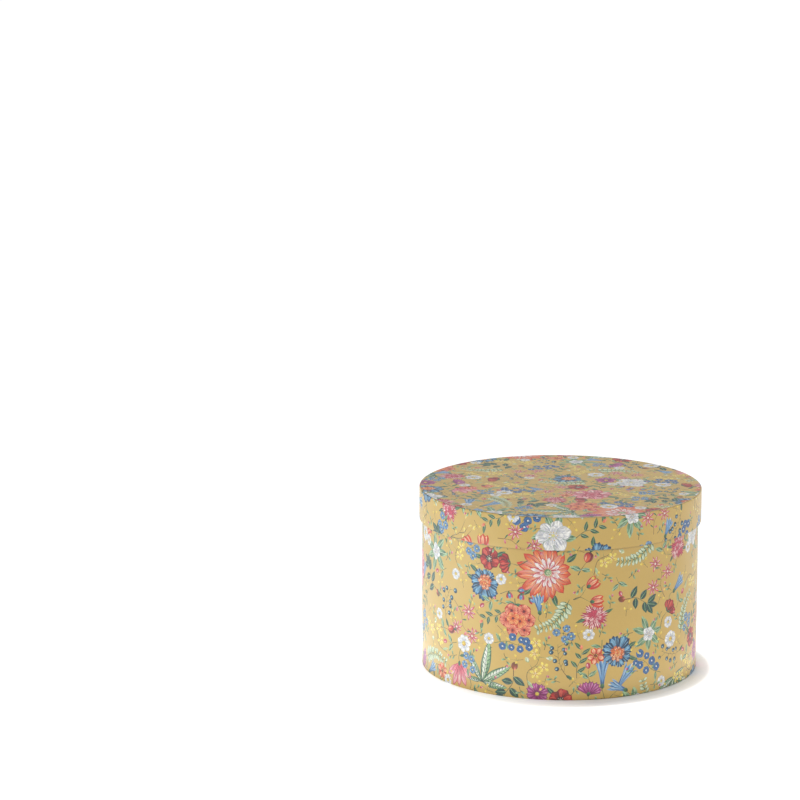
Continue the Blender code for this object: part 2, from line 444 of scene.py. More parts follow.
def poppy(d):
    peeping_leaves(d, (1.1, -2.4), 7, 11)
    for angle in d.ring(5):
        reach = d.vary(11.2, 0.06)
        d.fan(0j, angle, reach, 1.75, "poppy_dark", "poppy_dark", 3, 0.06)
        d.fan(0j, angle + 0.06, 0.96 * reach, 1.4, "poppy_dark", "poppy", 3, 0.06)
        d.fan(0j, angle + 0.25, 0.88 * reach, 0.5, "poppy", "poppy_light", 2, 0.06)
        d.petal(ray(5, angle - 0.3), angle - 0.3, 0.4 * reach, 1.0, "poppy_dark", "poppy")
    d.spot_of_ink(0j, 3.5, "coal", "poppy_dark", 10)
    d.stamens(0j, 3.6, 12, "coal", 0.55)
    d.stamens(0j, 2.5, 8, "stamen", 0.45)
    d.spot_of_ink(0j, 1.4, "sage", "stamen")


def poppy_side(d):
    d.stroke([-18 - 4j, -9 + 1j, -1 + 0j], 0.9, "stem", "stem_dark")
    for angle in (0.8, -0.8, 0.4, -0.35, 0.0):
        reach = d.vary(12.5, 0.08)
        d.fan(-1 + 0j, angle, reach, 0.9, "poppy_dark", "poppy_dark", 2, 0.08)
        d.fan(-1 + 0j, angle + 0.03, 0.95 * reach, 0.7, "poppy_dark", "poppy", 2, 0.08)
        d.fan(-1 + 0j, angle + 0.12, 0.88 * reach, 0.26, "poppy", "poppy_light", 2, 0.06)
    d.leaf(-1 + 0j, 0.9, 5, 2.2, "stem_dark", "leaf")
    d.leaf(-1 + 0j, -0.9, 5, 2.2, "stem_dark", "leaf")


def cosmos_fans(d, foot, angles, radius, spread):
    """Notched petals in magenta, striped from the middle."""
    for angle in angles:
        reach = d.vary(radius, 0.06)
        d.fan(foot, angle, 1.03 * reach, spread, "magenta_deep", "magenta_deep", 3, 0.12, 0.18)
        d.fan(foot, angle, 0.97 * reach, 0.84 * spread, "magenta_deep", "magenta", 3, 0.12, 0.18)
        for swing in (-0.22 * spread, 0.16 * spread):
            d.petal(foot + ray(0.3 * reach, angle + swing), angle + swing, 0.62 * reach,
                    0.07 * radius, "magenta", "magenta_pale", 0.7)


def cosmos(d):
    cosmos_fans(d, 0j, d.ring(8), 11, 0.84)
    d.spot_of_ink(0j, 2.1, "yellow_deep", "yellow")
    d.stamens(0j, 1.9, 7, "brown", 0.4)


def cosmos_side(d):
    d.stroke([-19 + 3j, -10 - 1j, -2 + 0j], 0.8, "stem", "stem_dark")
    d.petal(-12 + 0j, 2.2, 8, 1.1, "stem", "leaf")
    d.petal(-9 + 0j, -2.0, 7, 1.1, "stem", "leaf")
    cosmos_fans(d, -2 + 0j, (-0.95, 0.95, -0.5, 0.5, 0.0), 14, 0.66)
    d.petal(-3.8 + 0j, 0.0, 5.0, 4.0, "stem_dark", "leaf", 0.6, 0.6)


def little_flower(d, centre, radius, dark, light, middle, count=5):
    """One small flower of round petals."""
    for angle in d.ring(count):
        d.petal(centre, angle, 1.06 * radius, 1.14 * radius, dark, dark, 0.64, 0.5, steps=5)
    for angle in d.ring(count):
        d.petal(centre, angle, d.vary(radius, 0.08), 0.84 * radius, dark, light, 0.66, 0.5, steps=5)
    d.spot_of_ink(centre, 0.22 * radius, middle, sides=6)


def coral_cluster(d):
    d.stroke([-3 - 21j, -1 - 10j, 0j], 0.8, "stem_dark", "stem")
    d.leaf(-2 - 15j, -0.6, 11, 4, "leaf_teal", "leaf_light")
    d.leaf(-2 - 16j, 2.6, 9, 3.4, "leaf_teal", "leaf")
    for angle in d.ring(6):
        little_flower(d, ray(11, angle), d.vary(6.6, 0.12), "poppy", "coral_pale", "poppy_dark")
    for centre in (-2 + 1j, 4 - 3j):
        little_flower(d, centre, 6.4, "orange_deep", "apricot", "poppy_dark")


def coral_flower(d):
    d.stroke([-15 - 3j, -8 + 1j, -3 + 0j], 0.7, "stem", "stem_dark")
    d.leaf(-9 + 0j, -1.3, 10, 3.6, "leaf_teal", "leaf_light")
    for angle in d.ring(5):
        reach = d.vary(8, 0.1)
        d.fan(0j, angle, reach, 1.3, "poppy", "orange_deep", 3, 0.14)
        d.fan(0j, angle + 0.05, 0.92 * reach, 0.7, "orange_deep", "orange_pale", 2, 0.1)
    d.spot_of_ink(0j, 2.2, "poppy_dark", "rust")
    d.stamens(0j, 1.8, 6, "yellow", 0.4)


def bell(d, foot, angle, length=24.0, mouth=14.0):
    """A trumpet flower seen from the side."""
    way = ray(1, angle)
    side = [complex(0, 1.4), complex(0.3, 2.2), complex(0.56, 3.4), complex(0.8, 5.2)]
    lips = [complex(1.08, mouth / 2 + 1), complex(0.9, mouth / 4), complex(1.1, mouth / 7),
            complex(0.92, 0), complex(1.1, -mouth / 6), complex(0.9, -mouth / 3.4),
            complex(1.04, -mouth / 2 - 0.6)]
    half = [complex(p.real, -p.imag) for p in side[::-1]]
    outline = [complex(p.real * length, p.imag) * way + foot for p in side + lips + half]
    d.shape(outline, foot, length * way, mouth / 2, "bell_deep", "bell")
    for lean, tint, wide in ((0.2, "bell_pale", 1.6), (0.09, "bell_deep", 1.5),
                             (-0.04, "sky_pale", 2.4), (-0.17, "bell_deep", 1.5),
                             (-0.25, "bell_pale", 1.2)):
        d.petal(foot + 0.14 * length * way, angle + lean, 0.84 * length, wide, "bell", tint,
                0.7, 0.8)
    d.petal(foot + 0.86 * length * way, angle + 0.1, 0.3 * length, 1.1, "bell_pale", "cream")
    d.petal(foot - 1.6 * way, angle, 5.4, 4.2, "stem_dark", "leaf", 0.5, 0.7)


def bells(d):
    d.stroke([0 + 19j, -3 + 12j, -8 + 5j], 0.7, "stem", "stem_dark")
    d.stroke([0 + 19j, 4 + 11j, 8 + 5j], 0.7, "stem", "stem_dark")
    d.leaf(0 + 17j, 1.2, 10, 3, "leaf_teal", "leaf")
    bell(d, -7 + 4j, -1.95)
    bell(d, 7 + 5j, -1.3)


def one_bell(d):
    d.stroke([-17 - 1j, -12 + 2j, -7 + 0j], 0.6, "stem", "stem_dark")
    bell(d, -7 + 0j, 0.0, 18, 10)


def daisy(d):
    for angle in d.ring(7):
        d.petal(ray(1, angle), angle, 7.9, 6.0, "sage", "white_shade", 0.66, 0.5)
    for angle in d.ring(7):
        d.petal(ray(1, angle), angle, d.vary(7.4, 0.08), 5.2, "white_shade", "white", 0.68, 0.5)
        d.petal(ray(2.2, angle), angle + 0.1, 3.4, 0.6, "lilac", "white_shade")
    d.spot_of_ink(0j, 2.6, "yellow_deep", "yellow", 8)
    d.stamens(0j, 2.4, 8, "brown", 0.45)
    d.stamens(0j, 1.0, 4, "rust", 0.4)


def small_daisy(d):
    d.turn *= 0.66
    daisy(d)


def sprig(d, points, width, root, tip):
    """A stem through points. Returns its smooth path."""
    d.stroke(points, width, root, tip)
    return smooth_path(points)


def berries(d):
    path = sprig(d, [-20 - 9j, -10 - 1j, 2 + 3j, 15 + 4j], 0.6, "twig", "stem_dark")
    for k, p in enumerate(path[3:-1]):
        heading = cmath.phase(path[k + 4] - path[k + 3])
        lean = heading + (1.0 if k % 2 else -1.0) * d.vary(1, 0.25)
        end = p + ray(d.vary(6.8, 0.35), lean)
        d.stroke([p, (p + end) / 2 + ray(0.6, lean + 1.5), end], 0.4, "stem_dark", "twig")
        radius = d.vary(2.3, 0.14)
        d.spot_of_ink(end, radius, "coal_blue", "berry")
        d.spot_of_ink(end + ray(0.2, 1.9), 0.72 * radius, "berry", "berry_light", 6)
        d.spot_of_ink(end + ray(0.8, 1.9), 0.6, "glint", sides=5)
    d.leaf(path[2], -2.2, 9, 3.4, "leaf_dark", "leaf")


def forget_me_nots(d):
    path = sprig(d, [-18 - 9j, -7 - 1j, 5 + 1j, 15 + 8j], 0.6, "stem", "stem_dark")
    d.leaf(path[2], 2.4, 10, 3.6, "leaf_teal", "leaf_light")
    d.leaf(path[4], -1.2, 9, 3.4, "leaf_teal", "leaf_light")
    for k, index in enumerate((3, 5, 6, 8, 9, 10, 12)):
        lean = 1.4 if k % 2 else -1.4
        end = path[index] + ray(d.vary(5.2, 0.3), lean)
        d.stroke([path[index], end], 0.4, "stem", "stem_dark")
        little_flower(d, end, d.vary(3.9, 0.15), "cobalt", "sky", "cream")
        d.petal(end - ray(1, lean), lean + 0.6, 2.4, 1.1, "white", "sky_pale")


def yellow_sprig(d):
    path = sprig(d, [-21 - 5j, -9 + 4j, 4 + 1j, 17 + 6j], 0.7, "twig", "stem")
    d.stroke([path[5], path[5] + 5 - 4j, path[5] + 12 - 5j], 0.5, "twig", "stem")
    for k, index in enumerate((4, 6, 7, 9, 10, 12)):
        lean = 1.1 if k % 2 else -1.1
        end = path[index] + ray(d.vary(6.8, 0.25), lean)
        d.stroke([path[index], end], 0.4, "stem", "sage")
        if k % 3 == 1:
            d.petal(end, lean, 6, 4.4, "sage", "bud", 0.5, 0.6)
            d.petal(end + 1j, lean - 0.5, 3.8, 1.8, "bud", "white", 0.5, 0.6)
        else:
            for angle in d.ring(5):
                d.petal(end, angle, d.vary(5.6), 3.0, "yellow_deep", "yellow", 0.62, 0.7)
                d.petal(end, angle + 0.1, 4.2, 0.9, "cream", "yellow", 0.6)
            d.stamens(end, 1.2, 3, "rust", 0.5)
    d.leaf(path[2], -2.0, 10, 3, "sage", "sage_pale")


def rose_leaves(d):
    path = sprig(d, [-17 - 2j, -6 + 2j, 5 + 0j, 11 - 1j], 0.8, "twig", "stem_dark")
    d.petal(path[0], 3.3, 8, 6.6, "rust", "brown", 0.5, 0.55)
    d.petal(path[0] + 1j, 3.3, 4.6, 2.2, "coral_pale", "hip", 0.5, 0.6)
    for index, lean in ((2, 1.25), (4, -1.35), (6, 1.1), (8, -1.1), (11, 0.85), (11, -0.8)):
        d.leaf(path[index], lean, d.vary(12.5, 0.12), 6.8, "leaf_dark", "leaf_teal", "leaf_light")
    d.leaf(path[-1], 0.05, 12.5, 6.4, "leaf_dark", "leaf_teal", "leaf_light")


def sage_sprig(d):
    path = sprig(d, [-25 - 8j, -10 - 1j, 5 + 1j, 21 - 4j], 0.6, "stem", "sage")
    for k, p in enumerate(path[1:-1]):
        for side in (1, -1):
            lean = cmath.phase(path[k + 2] - path[k + 1]) + side * d.vary(0.95, 0.2)
            size = d.vary(8.6, 0.15) * (1 - 0.04 * k)
            d.petal(p, lean, size, 0.56 * size, "leaf_teal", "sage", 0.5, 0.75, side * 0.12)
            d.petal(p + ray(0.6, lean), lean, 0.86 * size, 0.38 * size, "sage_pale", "vein",
                    0.55, 0.7, side * 0.12)


def long_leaves(d):
    foot = -7 - 16j
    for angle, length in ((1.25, 43), (2.1, 31), (0.5, 37), (-0.25, 28), (2.9, 20)):
        bend = d.dice.uniform(-0.16, 0.16)
        d.petal(foot, angle, length, 0.26 * length, "leaf_dark", "leaf", 0.5, 0.9, bend, 0.06, 9)
        d.petal(foot, angle, 0.97 * length, 0.2 * length, "leaf", "leaf_light", 0.5, 0.9, bend,
                0.06, 9)
        d.petal(foot, angle + 0.05, 0.9 * length, 0.1 * length, "vein", "white", 0.5, 0.9,
                bend, 0.1, 8)
        way = ray(1, angle)
        d.stroke([foot, foot + way * length * complex(0.5, bend * 0.25),
                  foot + way * length * complex(0.92, bend * 0.84)], 0.8, "leaf_dark", "leaf")
        for t in (0.2, 0.3, 0.4, 0.5, 0.6, 0.7, 0.8):
            middle = foot + way * length * complex(t, bend * t * t)
            for side in (1, -1):
                d.petal(middle, angle + side * 0.8, 0.13 * length, 0.9, "leaf_teal", "leaf_dark",
                        steps=3)


def star_sprig(d):
    path = sprig(d, [-19 - 6j, -7 + 0j, 5 - 1j, 15 + 6j], 0.6, "twig", "twig")
    for index, reach, size in ((4, 9.5, 8.2), (8, -8.5, 7.4), (12, 1.5, 7.8)):
        centre = path[index] + reach * 1j
        d.stroke([path[index], centre], 0.45, "twig", "hip")
        for angle in d.ring(8):
            d.petal(centre, angle, d.vary(size, 0.14), 0.3 * size, "rose_deep", "rose", 0.55, 0.8)
            d.petal(centre, angle + 0.06, 0.86 * size, 0.15 * size, "rose", "blush", 0.6, 0.8)
        d.stamens(centre, 0.34 * size, 6, "poppy_dark", 0.4)
        d.spot_of_ink(centre, 1.1, "cream")
    for index in (2, 6, 10):
        d.petal(path[index], -0.8, 5, 2.2, "rose_pale", "rose")
        d.petal(path[index], 1.4, 6, 1.6, "leaf_teal", "leaf")


def tendril(d):
    for points in ([-24 + 0j, -10 + 5j, 4 + 2j, 20 + 9j], [-10 + 5j, -1 - 2j, 9 - 5j, 21 - 4j],
                   [4 + 2j, 10 - 1j, 18 + 1j], [-18 + 2j, -12 - 3j, -4 - 5j]):
        path = sprig(d, points, 0.75, "stem_dark", "twig")
        for index in (len(path) // 2, len(path) - 1):
            lean = d.dice.uniform(-0.6, 0.9)
            d.petal(path[index], lean, 5.4, 2.4, "yellow_deep", "yellow")
            d.petal(path[index], lean + 0.1, 4, 0.8, "cream", "bud")
    d.leaf(-14 + 3j, 1.4, 8, 2.4, "leaf_teal", "sage")


def rose_hip(d):
    d.stroke([-15 + 3j, -8 + 2j, -1 + 0j], 0.8, "stem_dark", "twig")
    d.leaf(-10 + 2j, 1.5, 11, 5, "leaf_teal", "leaf_light", "vein")
    d.leaf(-9 + 2j, -1.4, 10, 4.4, "leaf_teal", "leaf_light", "vein")
    d.petal(-2 + 0j, 0.0, 11, 9, "hip", "poppy_dark", 0.55, 0.5)
    d.petal(-1.4 + 0.6j, 0.1, 9, 5.6, "coral", "poppy", 0.55, 0.5)
    d.petal(0 + 1.8j, 0.1, 5, 1.4, "orange_pale", "coral_pale", 0.5, 0.6)
    for angle in (-0.5, -0.1, 0.35):
        d.petal(8 + 0j, angle, 5.0, 1.2, "stem_dark", "leaf")


def orange_buds(d):
    for foot, angle in ((-8 - 3j, 0.5 + 1.3), (6 - 5j, 1.2)):
        d.stroke([-2 - 19j, -2 - 12j, foot], 0.7, "stem_dark", "stem")
        for lean in (-0.35, 0.35, 0.0):
            d.petal(foot, angle + lean, 14.5, 7, "poppy", "orange_deep", 0.5, 0.7)
            d.petal(foot, angle + lean + 0.06, 13, 3.4, "orange_deep", "orange_pale", 0.5, 0.7)
        d.petal(foot, angle, 5, 4, "stem_dark", "leaf", 0.5, 0.7)


def trumpet_lily(d):
    d.stroke([-24 + 2j, -14 - 1j, -8 + 0j], 0.9, "stem", "stem_dark")
    d.leaf(-15 + 0j, 1.8, 11, 3.4, "leaf_teal", "leaf")
    for angle, length in ((-0.75, 23), (0.8, 21), (-0.3, 27), (0.35, 25), (0.0, 25)):
        bend = 0.12 * angle
        d.petal(-8 + 0j, angle, length, 8.0, "rose_deep", "rose", 0.62, 0.8, bend, 0.08)
        d.petal(-8 + 0j, angle, 0.95 * length, 6.2, "rose", "rose_pale", 0.64, 0.8, bend, 0.08)
        d.petal(-4 + 0j, angle, 0.74 * length, 1.7, "rose_deep", "blush", 0.5, 0.8, bend)
    for lean in (-0.15, 0.05, 0.25):
        d.stroke([5 + 0j, 5 + ray(11, lean)], 0.45, "cream", "yellow_deep")
    d.petal(-10 + 0j, 0.0, 6, 4.2, "stem_dark", "leaf", 0.5, 0.7)


def hanging_buds(d):
    path = sprig(d, [-13 + 8j, -4 + 6j, 5 + 0j, 9 - 9j], 0.6, "stem_dark", "stem")
    for index, lean in ((4, -2.0), (7, -0.4), (9, -2.4), (12, -1.3)):
        for turn_off, root, tip in ((-0.4, "poppy_dark", "poppy"), (0.4, "rose_deep", "rose"),
                                    (0.0, "bell_deep", "bell")):
            d.petal(path[index], lean + turn_off, 7.6, 3.2, root, tip, 0.6, 0.7)
        d.petal(path[index], lean, 5, 1.0, "bell", "white", 0.6)
        d.petal(path[index], lean, 3, 2.6, "stem_dark", "leaf")


def small_blues(d):
    for centre in (-5 + 2j, 5 + 3j, 1 - 6j, 1 + 8j):
        d.stroke([0j, centre], 0.4, "stem_dark", "stem")
        little_flower(d, centre, d.vary(3.9, 0.12), "cobalt", "sky_pale", "yellow")
    d.leaf(-3 - 3j, -2.3, 8, 3, "leaf_teal", "leaf_light")


def leaf_pair(d):
    d.stroke([-10 - 3j, -3 + 0j, 4 + 1j], 0.6, "stem", "stem_dark")
    d.leaf(-5 + 0j, 1.0, 11, 4.6, "leaf_teal", "leaf_light", "vein")
    d.leaf(-3 + 0j, -0.9, 10, 4.2, "leaf_teal", "leaf_light", "vein")
    d.petal(4 + 1j, 0.3, 6.4, 4.6, "rose_deep", "rose", 0.5, 0.6)
    d.petal(4.6 + 1.6j, 0.4, 4.4, 1.6, "rose", "blush", 0.5, 0.6)


def leaf_spray(d):
    path = sprig(d, [-14 - 5j, -5 + 0j, 4 + 1j, 12 + 5j], 0.6, "stem_dark", "stem")
    for k, index in enumerate((2, 4, 6, 8, 10, 12)):
        lean = 0.3 + (0.85 if k % 2 else -0.85)
        d.leaf(path[index], lean, d.vary(9.5, 0.15), 3.9, "leaf_dark", "leaf", "sage_pale")
    d.petal(path[-1], 0.5, 5, 3.2, "coral", "coral_pale", 0.5, 0.6)


def tiny_spray(d):
    d.stroke([-5 - 3j, 0j, 5 + 2j], 0.5, "stem_dark", "stem")
    for foot, angle in ((-2 - 1j, 1.2), (0j, -1.1), (2 + 1j, 1.0)):
        d.petal(foot, angle, d.vary(5.4), 2.2, "leaf_teal", "leaf_light")
    d.petal(5 + 2j, 0.4, 3.4, 2.4, "rose_deep", "rose_pale", 0.5, 0.6)


def speck_sprig(d):
    d.stroke([-6 - 2j, -1 + 0j, 4 + 1j], 0.45, "twig", "stem")
    for foot, angle in ((-2 - 1j, 1.0), (0j, -1.0), (4 + 1j, 0.1)):
        d.stroke([foot, foot + ray(3, angle)], 0.35, "stem", "stem")
        d.petal(foot + ray(2.6, angle), angle, 3.4, 2.2, "yellow_deep", "yellow", 0.5, 0.6)


def chain(length, radius, count):
    """Circles in a row, which together hold a long motif."""
    return [(length * (k / (count - 1) - 0.5), radius) for k in range(count)]


# Each motif: how many go on a square metre, and the circles that it fills
CATALOGUE = [
    (dahlia, 22, [(0j, 26.0)]),
    (peony, 10, [(0j, 19.5)]),
    (blue_anemone, 50, [(0j, 16.0)]),
    (long_leaves, 30, [(-7 - 12j, 7.0), (-2 + 2j, 10.0), (3 + 14j, 9.0), (12 - 8j, 6.0)]),
    (blossom, 34, [(0j, 16.0)]),
    (trumpet_lily, 18, [(-15 + 0j, 5.0), (-1 + 0j, 9.0), (10 + 0j, 11.0)]),
    (leafy_blossom, 30, [(0j, 15.0)]),
    (coral_cluster, 18, [(0j, 15.0), (-2 - 17j, 4.0)]),
    (carnation, 50, [(0j, 13.5)]),
    (bells, 24, [(0 + 12j, 8.0), (-11 - 9j, 8.0), (11 - 9j, 8.0)]),
    (rose_leaves, 40, [(-18 + 0j, 4.0), (-6 + 0j, 9.0), (5 + 0j, 10.0), (16 + 0j, 7.0)]),
    (poppy, 50, [(0j, 10.5)]),
    (berries, 56, [(-15 - 5j, 4.0), (-6 + 1j, 7.5), (4 + 3j, 8.0), (13 + 5j, 7.0)]),
    (cosmos, 22, [(0j, 10.0)]),
    (cosmos_side, 26, [(-13 + 1j, 4.0), (3 + 0j, 9.5)]),
    (sage_sprig, 56, chain(42, 6.5, 5)),
    (yellow_sprig, 70, [(-16 - 2j, 4.0), (-7 + 3j, 7.0), (3 + 1j, 9.0), (13 + 4j, 8.0)]),
    (forget_me_nots, 44, [(-13 - 6j, 4.5), (-5 + 0j, 8.0), (5 + 2j, 8.0), (13 + 7j, 6.0)]),
    (star_sprig, 40, [(-14 - 4j, 4.0), (-5 + 6j, 8.0), (6 - 6j, 8.0), (14 + 6j, 8.0)]),
    (poppy_side, 26, [(-12 - 1j, 3.5), (4 + 0j, 9.0)]),
    (leaf_spray, 70, [(-10 - 2j, 4.5), (-2 + 0j, 7.0), (6 + 2j, 7.0), (13 + 6j, 4.0)]),
    (hanging_buds, 26, [(-9 + 6j, 4.0), (0 + 2j, 7.0), (7 - 7j, 7.0)]),
    (orange_buds, 16, [(-2 - 14j, 4.0), (0 + 2j, 11.0)]),
    (coral_flower, 26, [(-10 + 0j, 4.0), (0j, 7.5)]),
    (rose_hip, 22, [(-9 + 2j, 7.5), (4 + 0j, 6.5)]),
    (daisy, 60, [(0j, 7.6)]),
    (tendril, 80, [(-17 + 1j, 4.5), (-6 + 2j, 5.5), (5 + 0j, 6.5), (16 + 2j, 7.0)]),
    (one_bell, 80, [(-12 + 0j, 3.0), (-1 + 0j, 4.0), (7 + 0j, 5.5)]),
    (leaf_pair, 140, [(-2 + 0j, 7.0), (6 + 0j, 4.0)]),
    (small_blues, 60, [(0 + 1j, 8.0)]),
    (small_daisy, 160, [(0j, 5.0)]),
    (tiny_spray, 700, [(0j, 5.0)]),
    (speck_sprig, 500, [(-1 + 0j, 4.2)]),
]
TRIES = 320
NEST = 0.82  # share of its circles that a motif keeps to itself, so that petals can nest


def scatter(drawing, low, high, spacing, size, inside=None):
    """Cover a rectangle of paper with motifs, from the largest to the smallest.

    low and high are opposite corners, and inside may say more closely where a
    motif's middle can lie. Of the places that have room, each motif takes the one
    farthest from others of its own kind.
    """
    area = (high - low).real * (high - low).imag / MM_PER_M ** 2
    dice = drawing.dice
    centres = np.zeros(0, complex)
    radii = np.zeros(0)
    for motif, per_area, circles in CATALOGUE:
        offsets = np.array([c for c, _ in circles], complex) * size
        own_radii = np.array([r for _, r in circles]) * size * NEST
        placed = []
        for _ in range(round(per_area * area)):
            spots = np.array([complex(dice.uniform(low.real, high.real),
                                      dice.uniform(low.imag, high.imag)) for _ in range(TRIES)])
            if inside:
                spots = spots[inside(spots)]
            turns = np.exp(1j * np.array([dice.uniform(0, math.tau) for _ in spots]))
            if len(radii):
                at = spots[:, None] + turns[:, None] * offsets[None]
                apart = np.abs(at[:, :, None] - centres[None, None])
                room = apart - radii - own_radii[None, :, None]
                free = room.min(axis=(1, 2)) > spacing
                spots, turns = spots[free], turns[free]
            if not len(spots):
                break
            best = 0
            if placed:
                best = int(np.abs(spots[:, None] - np.array(placed)[None]).min(1).argmax())
            placed.append(spots[best])
            centres = np.append(centres, spots[best] + turns[best] * offsets)
            radii = np.append(radii, own_radii)
            drawing.spot = complex(spots[best])
            drawing.turn = complex(turns[best]) * size * dice.uniform(0.94, 1.06)
            motif(drawing)


# ---------------------------------------------------------------------------
# From a flat drawing to a sheet of paper
# ---------------------------------------------------------------------------

def section_points(node):
    """The distinct (radius, z) points of a round CAD node, in metres."""
    return {(round(math.hypot(v.co.x, v.co.y), 5), round(v.co.z, 5))
            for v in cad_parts[node].data.vertices}


def level_radii(node, top):
    """Outer and inner radius of a node's highest level, or of its lowest."""
    points = section_points(node)
    level = (max if top else min)(z for _, z in points)
    radii = [r for r, z in points if abs(z - level) < MM / 20]
    return max(radii), min(radii), level


class FoldedPath:
    """The section that a strip of paper follows, with rounded folds.

    It goes through (radius, z) corners, and each fold is an arc. Lengths along it
    are in metres.
    """

    def __init__(self, corners, fold):
        self.runs = []
        self.rows = []
        here = Vector(corners[0])
        length = 0.0
        for before, corner, after in zip(corners, corners[1:], corners[2:]):
            corner = Vector(corner)
            way_in = (corner - Vector(before)).normalized()
            way_out = (Vector(after) - corner).normalized()
            start = corner - way_in * fold
            length = self._straight(here, start, length)
            length = self._arc(start, way_in, way_out, fold, length)
            here = corner + way_out * fold
        self.length = self._straight(here, Vector(corners[-1]), length)

    def _straight(self, start, end, length):
        reach = (end - start).length
        way = (end - start).normalized()
        self.runs.append(("straight", length, length + reach, start, way, None))
        return length + reach

    def _arc(self, start, way_in, way_out, fold, length):
        reach = fold * math.pi / 2
        self.runs.append(("arc", length, length + reach, start + way_out * fold, way_in, way_out))
        self.rows += [length + reach * k / 4 for k in range(5)]
        return length + reach

    def at(self, t):
        """(radius, z) and the outward normal there."""
        for kind, start, end, point, way, way_out in self.runs:
            if t <= end + 1e-9:
                break
        if kind == "straight":
            place = point + way * (t - start)
            heading = way
        else:
            turn = (t - start) / (end - start) * math.pi / 2
            fold = (end - start) / (math.pi / 2)
            place = point + (way * math.sin(turn) - way_out * math.cos(turn)) * fold
            heading = way * math.cos(turn) + way_out * math.sin(turn)
        return place, Vector((heading.y, -heading.x))


CDT_NEAR = 1e-4  # points nearer than this to each other become one


def triangulate(points, edges, faces):
    """Split flat faces into triangles along every edge.

    Returns the points, which given points each one stands for, the triangles, and for
    each triangle the last face that covers it. Triangles outside the first face are
    left out.
    """
    result = delaunay_2d_cdt([Vector((p.real, p.imag)) for p in points], edges, faces,
                             0, CDT_NEAR, True)
    places, triangles, top = result[0], [], []
    spans = []
    for face in faces:
        xs, ys = [points[i].real for i in face], [points[i].imag for i in face]
        spans.append((min(xs), max(xs), min(ys), max(ys)))
    for triangle, owners in zip(result[2], result[5]):
        if 0 in owners:
            middle = (places[triangle[0]] + places[triangle[1]] + places[triangle[2]]) / 3
            triangles.append(triangle)
            for owner in sorted(owners, reverse=True):
                left, right, bottom, upper = spans[owner]
                if left <= middle.x <= right and bottom <= middle.y <= upper:
                    break
            top.append(owner)
    flat = np.array([(p.x, p.y) for p in places])
    return flat, result[3], np.array(triangles), np.array(top)


STRAIGHT = 0.21  # how far a line may move when points are taken out of it
LONGEST = 8.0  # an edge longer than this would cut across the box's curve


def straighten(line):
    """Leave out the (index, place) points that a line stays straight without."""
    start, end = line[0][1], line[-1][1]
    reach = end - start
    if len(line) < 3:
        return line
    if abs(reach) < STRAIGHT:
        off = [abs(place - start) for _, place in line]
    else:
        off = [abs(((place - start) * reach.conjugate()).imag) / abs(reach) for _, place in line]
    worst = max(range(1, len(line) - 1), key=off.__getitem__)
    if off[worst] < STRAIGHT:
        if abs(reach) < LONGEST:
            return [line[0], line[-1]]
        worst = len(line) // 2
    return straighten(line[:worst + 1]) + straighten(line[worst:])[1:]


def thin_out(flat, triangles, label, fixed):
    """Triangulate again along only the edges between different labels.

    Fixed points stay. Returns the points, the triangles and, for each, the old triangle
    that lies there.
    """
    edges = np.concatenate([triangles[:, [0, 1]], triangles[:, [1, 2]], triangles[:, [2, 0]]])
    pairs, which, count = np.unique(np.sort(edges, 1), axis=0, return_inverse=True,
                                    return_counts=True)
    which = which.ravel()
    order = np.argsort(which, kind="stable")
    sides = np.tile(label, 3)[order]
    first = np.concatenate([[0], np.cumsum(count)[:-1]])
    shown = (count == 1) | (sides[first] != sides[first + count - 1])
    near = {}
    for a, b in pairs[shown].tolist():
        near.setdefault(a, []).append(b)
        near.setdefault(b, []).append(a)
    corners = {v for v, others in near.items() if len(others) != 2 or fixed[v]}

    place = [complex(x, y) for x, y in flat]
    seen = set()
    kept = []
    for start in [*corners, *near]:
        for step in near[start]:
            if (start, step) in seen:
                continue
            line = [start, step]
            while line[-1] not in corners and line[-1] != start:
                a, b = near[line[-1]]
                line.append(b if a == line[-2] else a)
            seen.update(zip(line, line[1:]))
            seen.update(zip(line[1:], line))
            line = [v for v, _ in straighten([(v, place[v]) for v in line])]
            kept += zip(line, line[1:])

    used = sorted({v for edge in kept for v in edge} | {v for v, held in enumerate(fixed) if held})
    number = {v: k for k, v in enumerate(used)}
    result = delaunay_2d_cdt([Vector(flat[v]) for v in used],
                             [(number[a], number[b]) for a, b in kept], [], 0, CDT_NEAR, False)
    new_flat = np.array([(p.x, p.y) for p in result[0]])
    new = np.array(result[2])
    tree = BVHTree.FromPolygons([(x, y, 0.0) for x, y in flat.tolist()], triangles.tolist())
    middles = new_flat[new].mean(1).tolist()
    found = np.array([tree.find_nearest((x, y, 0.0))[2] for x, y in middles])
    return new_flat, new, found


def border_of(triangles):
    """The edges that only one triangle has, each in that triangle's order."""
    edges = np.concatenate([triangles[:, [0, 1]], triangles[:, [1, 2]], triangles[:, [2, 0]]])
    keys = np.sort(edges, 1)
    _, first, counts = np.unique(keys, axis=0, return_index=True, return_counts=True)
    return edges[first[counts == 1]]


def eased(share):
    """A smooth step from 0 to 1."""
    return share * share * (3 - 2 * share)


ZONES = 64  # more than the zones of any sheet
SHARP = math.radians(40)


